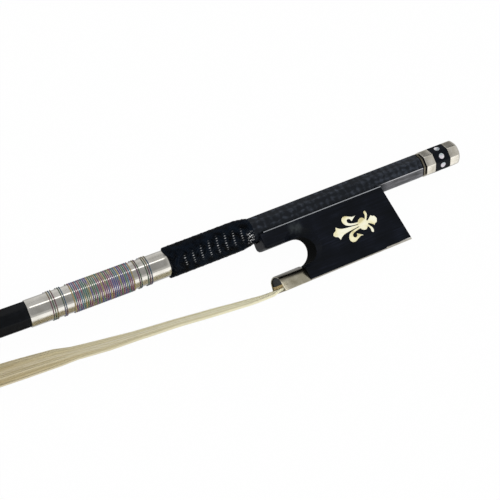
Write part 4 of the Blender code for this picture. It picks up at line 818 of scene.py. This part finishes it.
def buildCore():
    # The ebony core: full size between the rings, with a fine groove at each end, on its round neck.
    start, end, half, neck = (button[key] for key in ("coreStart", "coreEnd", "half", "neck"))
    groove, first, last = button["groove"], button["neckStart"], end + button["neckBeyond"]
    hole = neck - button["neckHole"]
    profile = [(first, hole, 1.0), (first, neck, 1.0), (start, neck, 1.0), (start, half - groove, 0.0),
               (start + groove, half, 0.0), (end - groove, half, 0.0), (end, half - groove, 0.0),
               (end, neck, 1.0), (last, neck, 1.0), (last, hole, 1.0)]
    mesh = gridMesh("ebonyCore", buttonLoops(profile), caps=True)
    addPiece("ebonyCore", mesh, "ebony", "screw_button", "button_core", 40)


def buildButton():
    # The rings and the core, with a pearl dot sunk in the middle of each facet and an eye in the end.
    for node, ring in rings.items():
        buildRing(node, **ring)
    buildRearRing()
    buildCore()
    middle = (button["coreStart"] + button["coreEnd"]) / 2
    for number in range(8):
        angle = tau * number / 8
        facing = np.array([0, -math.sin(angle), math.cos(angle)])
        centre = np.array([middle, 0, 0]) + facing * (button["half"] - 0.03)
        buildDisc("pearlDot" + str(number + 1), "pearl_dot_" + str(number + 1), centre, facing,
                  button["dot"], button["dotRise"], button["dotDepth"])
    buildDisc("pearlEye", "button_eye", (button["end"] - 0.1, 0, 0), (1, 0, 0), button["eye"],
              button["eyeRise"], button["eyeDepth"])


buildButton()
print("button done")


def ferruleLoop(inset):
    # The D outline as (z, y): flat bottom, sloping sides, arched crown, drawn in by inset, with rounded corners
    # below and softer ones at the shoulders. Both bends are parabolas.
    setup = ferrulePlace
    bottom = -setup["bottom"] + inset
    shoulderY = -setup["bottom"] + setup["shoulder"] - inset * 0.4
    shoulder = setup["shoulderWidth"] / 2 - inset
    crown = -setup["crown"] - inset
    rise = crown - shoulderY
    radius = (shoulder ** 2 + rise ** 2) / (2 * rise)
    corner = setup["bottomWidth"] / 2 - inset * 1.1
    blendBy = setup["shoulderBend"] * max(0.05, 1 - inset / setup["wall"])
    spread = math.asin(shoulder / radius) - blendBy / radius
    angles = np.linspace(math.pi / 2 - spread, math.pi / 2 + spread, 41)
    arch = np.stack([radius * np.cos(angles), crown - radius + radius * np.sin(angles)], axis=-1)
    rounded = max(0.05, setup["corner"] - inset)
    turnPoint, top = np.array([corner, bottom]), np.array([shoulder, shoulderY])
    lean = (top - turnPoint) / np.linalg.norm(top - turnPoint)
    steps = np.linspace(0, 1, 7)
    finish = turnPoint + lean * rounded
    bend = bezierAt(((corner - rounded, bottom), turnPoint, finish), steps)
    side = finish + (top - finish) * np.linspace(0.08, 1 - blendBy / np.linalg.norm(top - finish), 8)[:, None]
    turned = bezierAt((side[-1], top, arch[0]), steps)
    right = np.concatenate([bend, side, turned[1:-1]])
    left = right[::-1] * np.array([-1, 1])
    base = np.stack([np.linspace(-corner + rounded, corner - rounded, 12)[1:-1], np.full(10, bottom)], axis=-1)
    return np.concatenate([right, arch, left, base])


def buildFerrule():
    # The D carried through its wall: round the front lip, back outside, round the rear and forward inside.
    setup = ferrulePlace
    start, end, wall = setup["mouth"], setup["mouth"] + setup["length"], setup["wall"]
    lip = roundedEdge(wall / 2, 6)
    path = [(start + back, down) for back, down in lip]
    path += [(end - 0.1, 0.0), (end, 0.08), (end, wall)]
    path += [(start + back, wall - down) for back, down in lip[:0:-1]]
    loops = [(x, ferruleLoop(inset)) for x, inset in path]
    points = np.stack([np.stack([np.full(len(loop), x), loop[:, 1], loop[:, 0]], axis=-1) for x, loop in loops])
    mesh = gridMesh("ferruleSkin", points, roundAlong=True)
    addPiece("ferruleRing", mesh, "worn", "frog", "ferrule", 40)


buildFerrule()

easing = {"flat": 0.6, "angle": 28.0, "segments": 3}
easedPieces = {"frog_body": ("ebonyFrog", 0.16), "underslide": ("easedUnderslide", 0.05),
               "heel_plate": ("easedHeel", 0.05)}


def easedCopy(node, name, width):
    # The node's mesh, merged and freed of flat seams, with its sharp edges rounded and its flats kept flat.
    mesh = frame["nodes"][node].data.copy()
    work = bmesh.new()
    work.from_mesh(mesh)
    bmesh.ops.remove_doubles(work, verts=work.verts[:], dist=1e-6)
    bmesh.ops.dissolve_limit(work, angle_limit=math.radians(easing["flat"]), verts=work.verts[:],
                             edges=work.edges[:])
    work.to_mesh(mesh)
    work.free()
    piece = addPiece(name, mesh, nodeFinish[node], "frog", node, turn=False)
    bevel = piece.modifiers.new("easing", "BEVEL")
    bevel.width = width * mm
    bevel.segments = easing["segments"]
    bevel.limit_method = "ANGLE"
    bevel.angle_limit = math.radians(easing["angle"])
    bevel.harden_normals = False
    normals = piece.modifiers.new("flats", "WEIGHTED_NORMAL")
    normals.keep_sharp = True


for easedNode, (easedName, easedWidth) in easedPieces.items():
    easedCopy(easedNode, easedName, easedWidth)
print("frog done")

# The hair's lie: at each share of its length, how far its two edges stand apart in height, and how far it drops
hair = {"strands": 240, "stations": 90, "width": 10.8, "headWidth": 5.6, "knotWidth": 7.6, "thick": 0.85,
        "sag": 1.9, "strand": 0.27, "bend": 1.6, "headFace": 1.6, "insideX": (-43.9, -59.7), "wander": 0.05,
        "lift": 0.5,
        "lieShares": [0, 0.008, 0.02, 0.04, 0.06, 0.08, 0.1, 0.115, 0.126, 0.142, 0.16, 0.25, 0.5, 0.85, 1],
        "lieHeights": [0.9, 2.3, 3.0, 3.5, 3.6, 4.0, 5.0, 5.4, 6.9, 7.6, 8.0, 7.8, 5.6, 3.0, 0.9],
        "lieDrops": [0, 0.8, 0.9, 0.7, 0.5, 0.65, 0.65, 0.3, 0.1, 0.2, 0.35, 0.5, 0.3, 0.1, 0]}


def easedAlong(share, values):
    # Values between the places given for them, with a level start and end to each stretch.
    shares, values = np.array(hair["lieShares"]), np.array(values)
    low = np.clip(np.searchsorted(shares, share, side="right") - 1, 0, len(shares) - 2)
    part = np.clip((share - shares[low]) / (shares[low + 1] - shares[low]), 0, 1)
    ease = part * part * (3 - 2 * part)
    return values[low] * (1 - ease) + values[low + 1] * ease


def hairPath(share):
    # The ribbon's middle line: from the frog's mortise through the ferrule, sagging to the head, and by a
    # quarter circle up into the head's mortise. With it goes the direction that is up from the ribbon.
    setup = hair
    bend, radius = head["mortiseStart"] + setup["bend"] - 0.2, setup["bend"]
    drop = setup["headFace"] + setup["thick"] / 2
    start = np.array([ferrulePlace["mouth"], hairY])
    end = headFoot + (bend - radius) * toTip - drop * fromHair
    drops = easedAlong(share, setup["lieDrops"]) + 4 * setup["sag"] * share * (1 - share)
    free = start + (end - start) * share[:, None] - fromHair * drops[:, None]
    turns = np.linspace(0, math.pi / 2, 7)[1:, None]
    turned = (headFoot + (bend - radius * (1 - np.sin(turns))) * toTip
              + (-drop + radius * (1 - np.cos(turns))) * fromHair)
    sunk = headFoot + bend * toTip + head["mortiseDepth"] / 2 * fromHair
    inside = [(x, hairY) for x in setup["insideX"]]
    centre = np.concatenate([inside, free, turned, [sunk]])
    along = np.gradient(centre, axis=0)
    along = along / np.linalg.norm(along, axis=1)[:, None]
    up = np.stack([along[:, 1], -along[:, 0]], axis=-1)
    return centre, np.where((up @ (fromHair - 0.3 * toTip))[:, None] < 0, -up, up)


def buildHair():
    # Strands side by side and over each other: each keeps its place across the ribbon, with a slow wander by a
    # sine. The ribbon tilts so that its edges stand apart as the lie says.
    setup = hair
    share = np.linspace(0, 1, setup["stations"]) ** 1.35
    centre, up = hairPath(share)
    rows = len(centre)
    width = np.concatenate([[setup["knotWidth"], setup["width"]],
                            setup["width"] + (setup["headWidth"] - setup["width"]) * share ** 6,
                            np.full(7, setup["headWidth"])]) - setup["strand"]
    spread = easedAlong(share, setup["lieHeights"])
    tilt = np.arcsin(np.clip((spread - setup["thick"]) / (width[2:-7] + 0.01), 0, 0.95))
    tilt = np.concatenate([[0, 0], tilt, np.zeros(7)])[:, None]

    count = setup["strands"]
    place = np.linspace(-1, 1, count) + rng.uniform(-1, 1, count) / count
    level = rng.uniform(-1, 1, count)
    phase = rng.uniform(0, tau, (2, count))
    pace = rng.uniform(1.0, 3.5, (2, count))
    run = np.linspace(0, 1, rows)[:, None]
    loose = np.clip(np.sin(np.pi * np.clip((run - 0.03) / 0.94, 0, 1)), 0, 1)
    across = place + setup["wander"] * loose * np.sin(tau * pace[0] * run + phase[0])
    above = np.clip(level + setup["lift"] * loose * np.sin(tau * pace[1] * run + phase[1]), -1, 1)
    across = np.clip(across, -1, 1) * width[:, None] / 2
    above = above * (setup["thick"] - setup["strand"]) / 2
    lift = above * np.cos(tilt) - across * np.sin(tilt)
    side = above * np.sin(tilt) + across * np.cos(tilt)
    points = np.concatenate([centre[:, None] + up[:, None] * lift[..., None], side[..., None]], axis=-1)

    # Each strand is a square tube
    corners = np.arange(4) * tau / 4 + 0.4
    square = (np.cos(corners)[:, None] * np.array([0, 0, 1.0])
              + np.sin(corners)[None, :, None] * np.concatenate([up, np.zeros((rows, 1))], axis=-1)[:, None, :])
    skin = points.transpose(1, 0, 2)[:, :, None, :] + setup["strand"] / 2 * square
    index = np.arange(count * rows * 4).reshape(count, rows, 4)
    ends = np.concatenate([index[:, 0, ::-1], index[:, -1, :]]).tolist()
    mesh = meshOf("hairSkin", skin, quadsOf(np.concatenate([index, index[..., :1]], axis=-1)) + ends)
    # Hairs lie in locks about 0.8 mm wide, each a little lighter or darker as a whole
    lock = 0.5 + 0.5 * np.sin(19 * place + 3.6 * np.sin(4.3 * place + 1))
    tone = np.clip(0.15 + 0.45 * rng.uniform(0, 1, count) + 0.4 * lock, 0, 1)
    tone = np.repeat(tone, rows * 4).astype(np.float32)
    mesh.attributes.new("hairTone", "FLOAT", "POINT").data.foreach_set("value", tone)
    piece = addPiece("bowHair", mesh, "horsehair", None, "hair_ribbon")
    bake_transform(piece)


buildHair()
print("hair done")

room = {"level": 0.72, "window": 0.86, "ceiling": 0.68, "doorway": 0.06, "stand": 0.58,
        "standPlace": (0.14, 0.06), "standSize": 0.34, "floorSize": 6000.0, "floorDrop": 0.01, "shown": 0.98,
        "shadeStart": 0.0, "shadeEnd": 140.0, "shade": 0.2, "shadeLeft": 0.75,
        "paintedContactShade": 0.6, "contactMiddle": -8.0, "contactFrom": 20.0, "contactTo": 60.0}


def backgroundRays(tree):
    # 1 for the rays that show the background itself: to the camera, off metal and through glass.
    rays = addNode(tree, "LightPath").node.outputs
    direct = addNode(tree, "Math", [rays["Is Camera Ray"], rays["Is Glossy Ray"]], operation="MAXIMUM")
    return addNode(tree, "Math", [direct, rays["Is Transmission Ray"]], operation="MAXIMUM")


def buildFloor():
    # A wide pale floor that keeps the bow's soft shadow. The camera sees it white. The metal sees it glow, with
    # painted shade beyond the bow, most on the side of the head, and a painted contact shadow beside it.
    xs = np.linspace(-room["floorSize"], room["floorSize"], 5)
    gx, gy = np.meshgrid(xs, xs, indexing="ij")
    points = np.stack([gx, gy, np.full_like(gx, -bowPlace.z / mm - room["floorDrop"])], axis=-1)
    mesh = gridMesh("floorSkin", points, roundAcross=False)
    material = bpy.data.materials.new("paleFloor")
    material.use_nodes = True
    tree = material.node_tree
    tree.nodes.clear()
    matte = addNode(tree, "BsdfDiffuse", {"Color": "#EFEFEF"})
    along, up, _ = bowAxes(tree)
    dark = region(tree, (along, -60, 60, 1 - room["shadeLeft"], 1 - room["shade"]),
                  (up, room["shadeStart"], room["shadeEnd"]))
    shade = addNode(tree, "Math", [1.0, dark], operation="SUBTRACT")
    # A painted contact shadow in the glow the metal sees beside the bow
    away = addNode(tree, "Math", [up, room["contactMiddle"]], operation="SUBTRACT")
    away = addNode(tree, "Math", [away], operation="ABSOLUTE")
    paintedContactShade = region(tree, (away, room["contactFrom"], room["contactTo"], room["paintedContactShade"], 1.0))
    seen = addNode(tree, "Math", [shade, paintedContactShade], operation="MULTIPLY")
    direct = addNode(tree, "LightPath", output="Is Camera Ray")
    strength = addNode(tree, "Math", [seen, direct], operation="MAXIMUM")
    glow = addNode(tree, "Emission", {"Color": "#FFFFFF", "Strength": strength})
    share = addNode(tree, "Math", [backgroundRays(tree), room["shown"]], operation="MULTIPLY")
    addNode(tree, "OutputMaterial", {"Surface": addNode(tree, "MixShader", [share, matte, glow])})
    mesh.materials.append(material)
    floor = newObject("floor", mesh)


def buildWorld():
    # A white sweep. The metal sees a pale ceiling with a darker patch where the camera stands, a low bright
    # window on the hair's side, and a dark doorway beyond the button.
    world = bpy.data.worlds.new("studio")
    bpy.context.scene.world = world
    world.use_nodes = True
    tree = world.node_tree
    tree.nodes.clear()
    light = addNode(tree, "Background", {"Color": "#FFFFFF", "Strength": room["level"]})
    direction = addNode(tree, "TexCoord", output="Generated")
    toX, toY, toZ = addNode(tree, "SeparateXYZ", [direction]).node.outputs
    low = region(tree, (toY, -0.1, -0.55), (toZ, 0.35, 0.1))
    window = addNode(tree, "Math", [low, room["window"] - room["ceiling"], room["ceiling"]],
                     operation="MULTIPLY_ADD")
    door = region(tree, (toY, 0.3, 0.7), (toZ, 0.55, 0.2),
                  (toX, 0.28, 0.42, 0.0, room["ceiling"] - room["doorway"]))
    stand = region(tree, (farFrom(tree, toX, toY, room["standPlace"]), room["standSize"] / 2, room["standSize"],
                          room["stand"], 1.0))
    seen = addNode(tree, "Math", [window, door], operation="SUBTRACT")
    seen = addNode(tree, "Math", [seen, stand], operation="MULTIPLY")
    direct = addNode(tree, "LightPath", output="Is Camera Ray")
    strength = addNode(tree, "Math", [seen, direct], operation="MAXIMUM")
    shown = addNode(tree, "Background", {"Color": "#FFFFFF", "Strength": strength})
    addNode(tree, "OutputWorld", {"Surface": addNode(tree, "MixShader", [backgroundRays(tree), light, shown])})


def addLamp(name, place, target, size, power):
    # A soft lamp, in millimetres in the bow's frame, turned to its target with its length along the bow.
    data = bpy.data.lights.new(name, "AREA")
    data.shape = "RECTANGLE"
    data.size, data.size_y = size[0] * mm, size[1] * mm
    data.energy = power
    start, end = Vector(toFrame(place)), Vector(toFrame(target))
    back = (start - end).normalized()
    side = (Vector((1, 0, 0)) - back * back.x).normalized()
    turn = Matrix((side, back.cross(side), back)).transposed().to_4x4()
    turn.translation = start
    newObject(name, data).matrix_world = turn


lamps = {
    "overhead": {"place": (-950, 750, 1050), "target": (-80, 0, 0), "size": (600, 600), "power": 4.2},
    "lowSide": {"place": (150, -1150, 550), "target": (-80, 0, 0), "size": (2300, 950), "power": 4.8},
    "farStrip": {"place": (50, 450, 900), "target": (-120, 0, 0), "size": (330, 320), "power": 0.55},
}
camera = {"place": (-200.45, -18.59, 366.78), "right": (0.87927, -0.37757, 0.29037),
          "up": (0.34743, 0.92542, 0.15129), "forward": (0.32584, 0.03214, -0.94488), "lens": 80.63,
          "sensor": 36.0, "near": 0.01}


def buildCamera():
    # The camera stands where the photograph was taken from, fitted to the bow's known sizes.
    data = bpy.data.cameras.new("photoCamera")
    data.lens = camera["lens"]
    data.sensor_width = camera["sensor"]
    data.clip_start = camera["near"]
    right, up, forward = (Vector(camera[key]).normalized() for key in ("right", "up", "forward"))
    place = Matrix((right, up, -forward)).transposed().to_4x4()
    place.translation = Vector(toFrame(camera["place"]))
    eye = newObject("photoCamera", data)
    eye.matrix_world = place
    bpy.context.scene.camera = eye


buildFloor()
buildWorld()
for lampName, lamp in lamps.items():
    addLamp(lampName, **lamp)
buildCamera()
bpy.context.scene.view_settings.view_transform = "Standard"
print("room done")
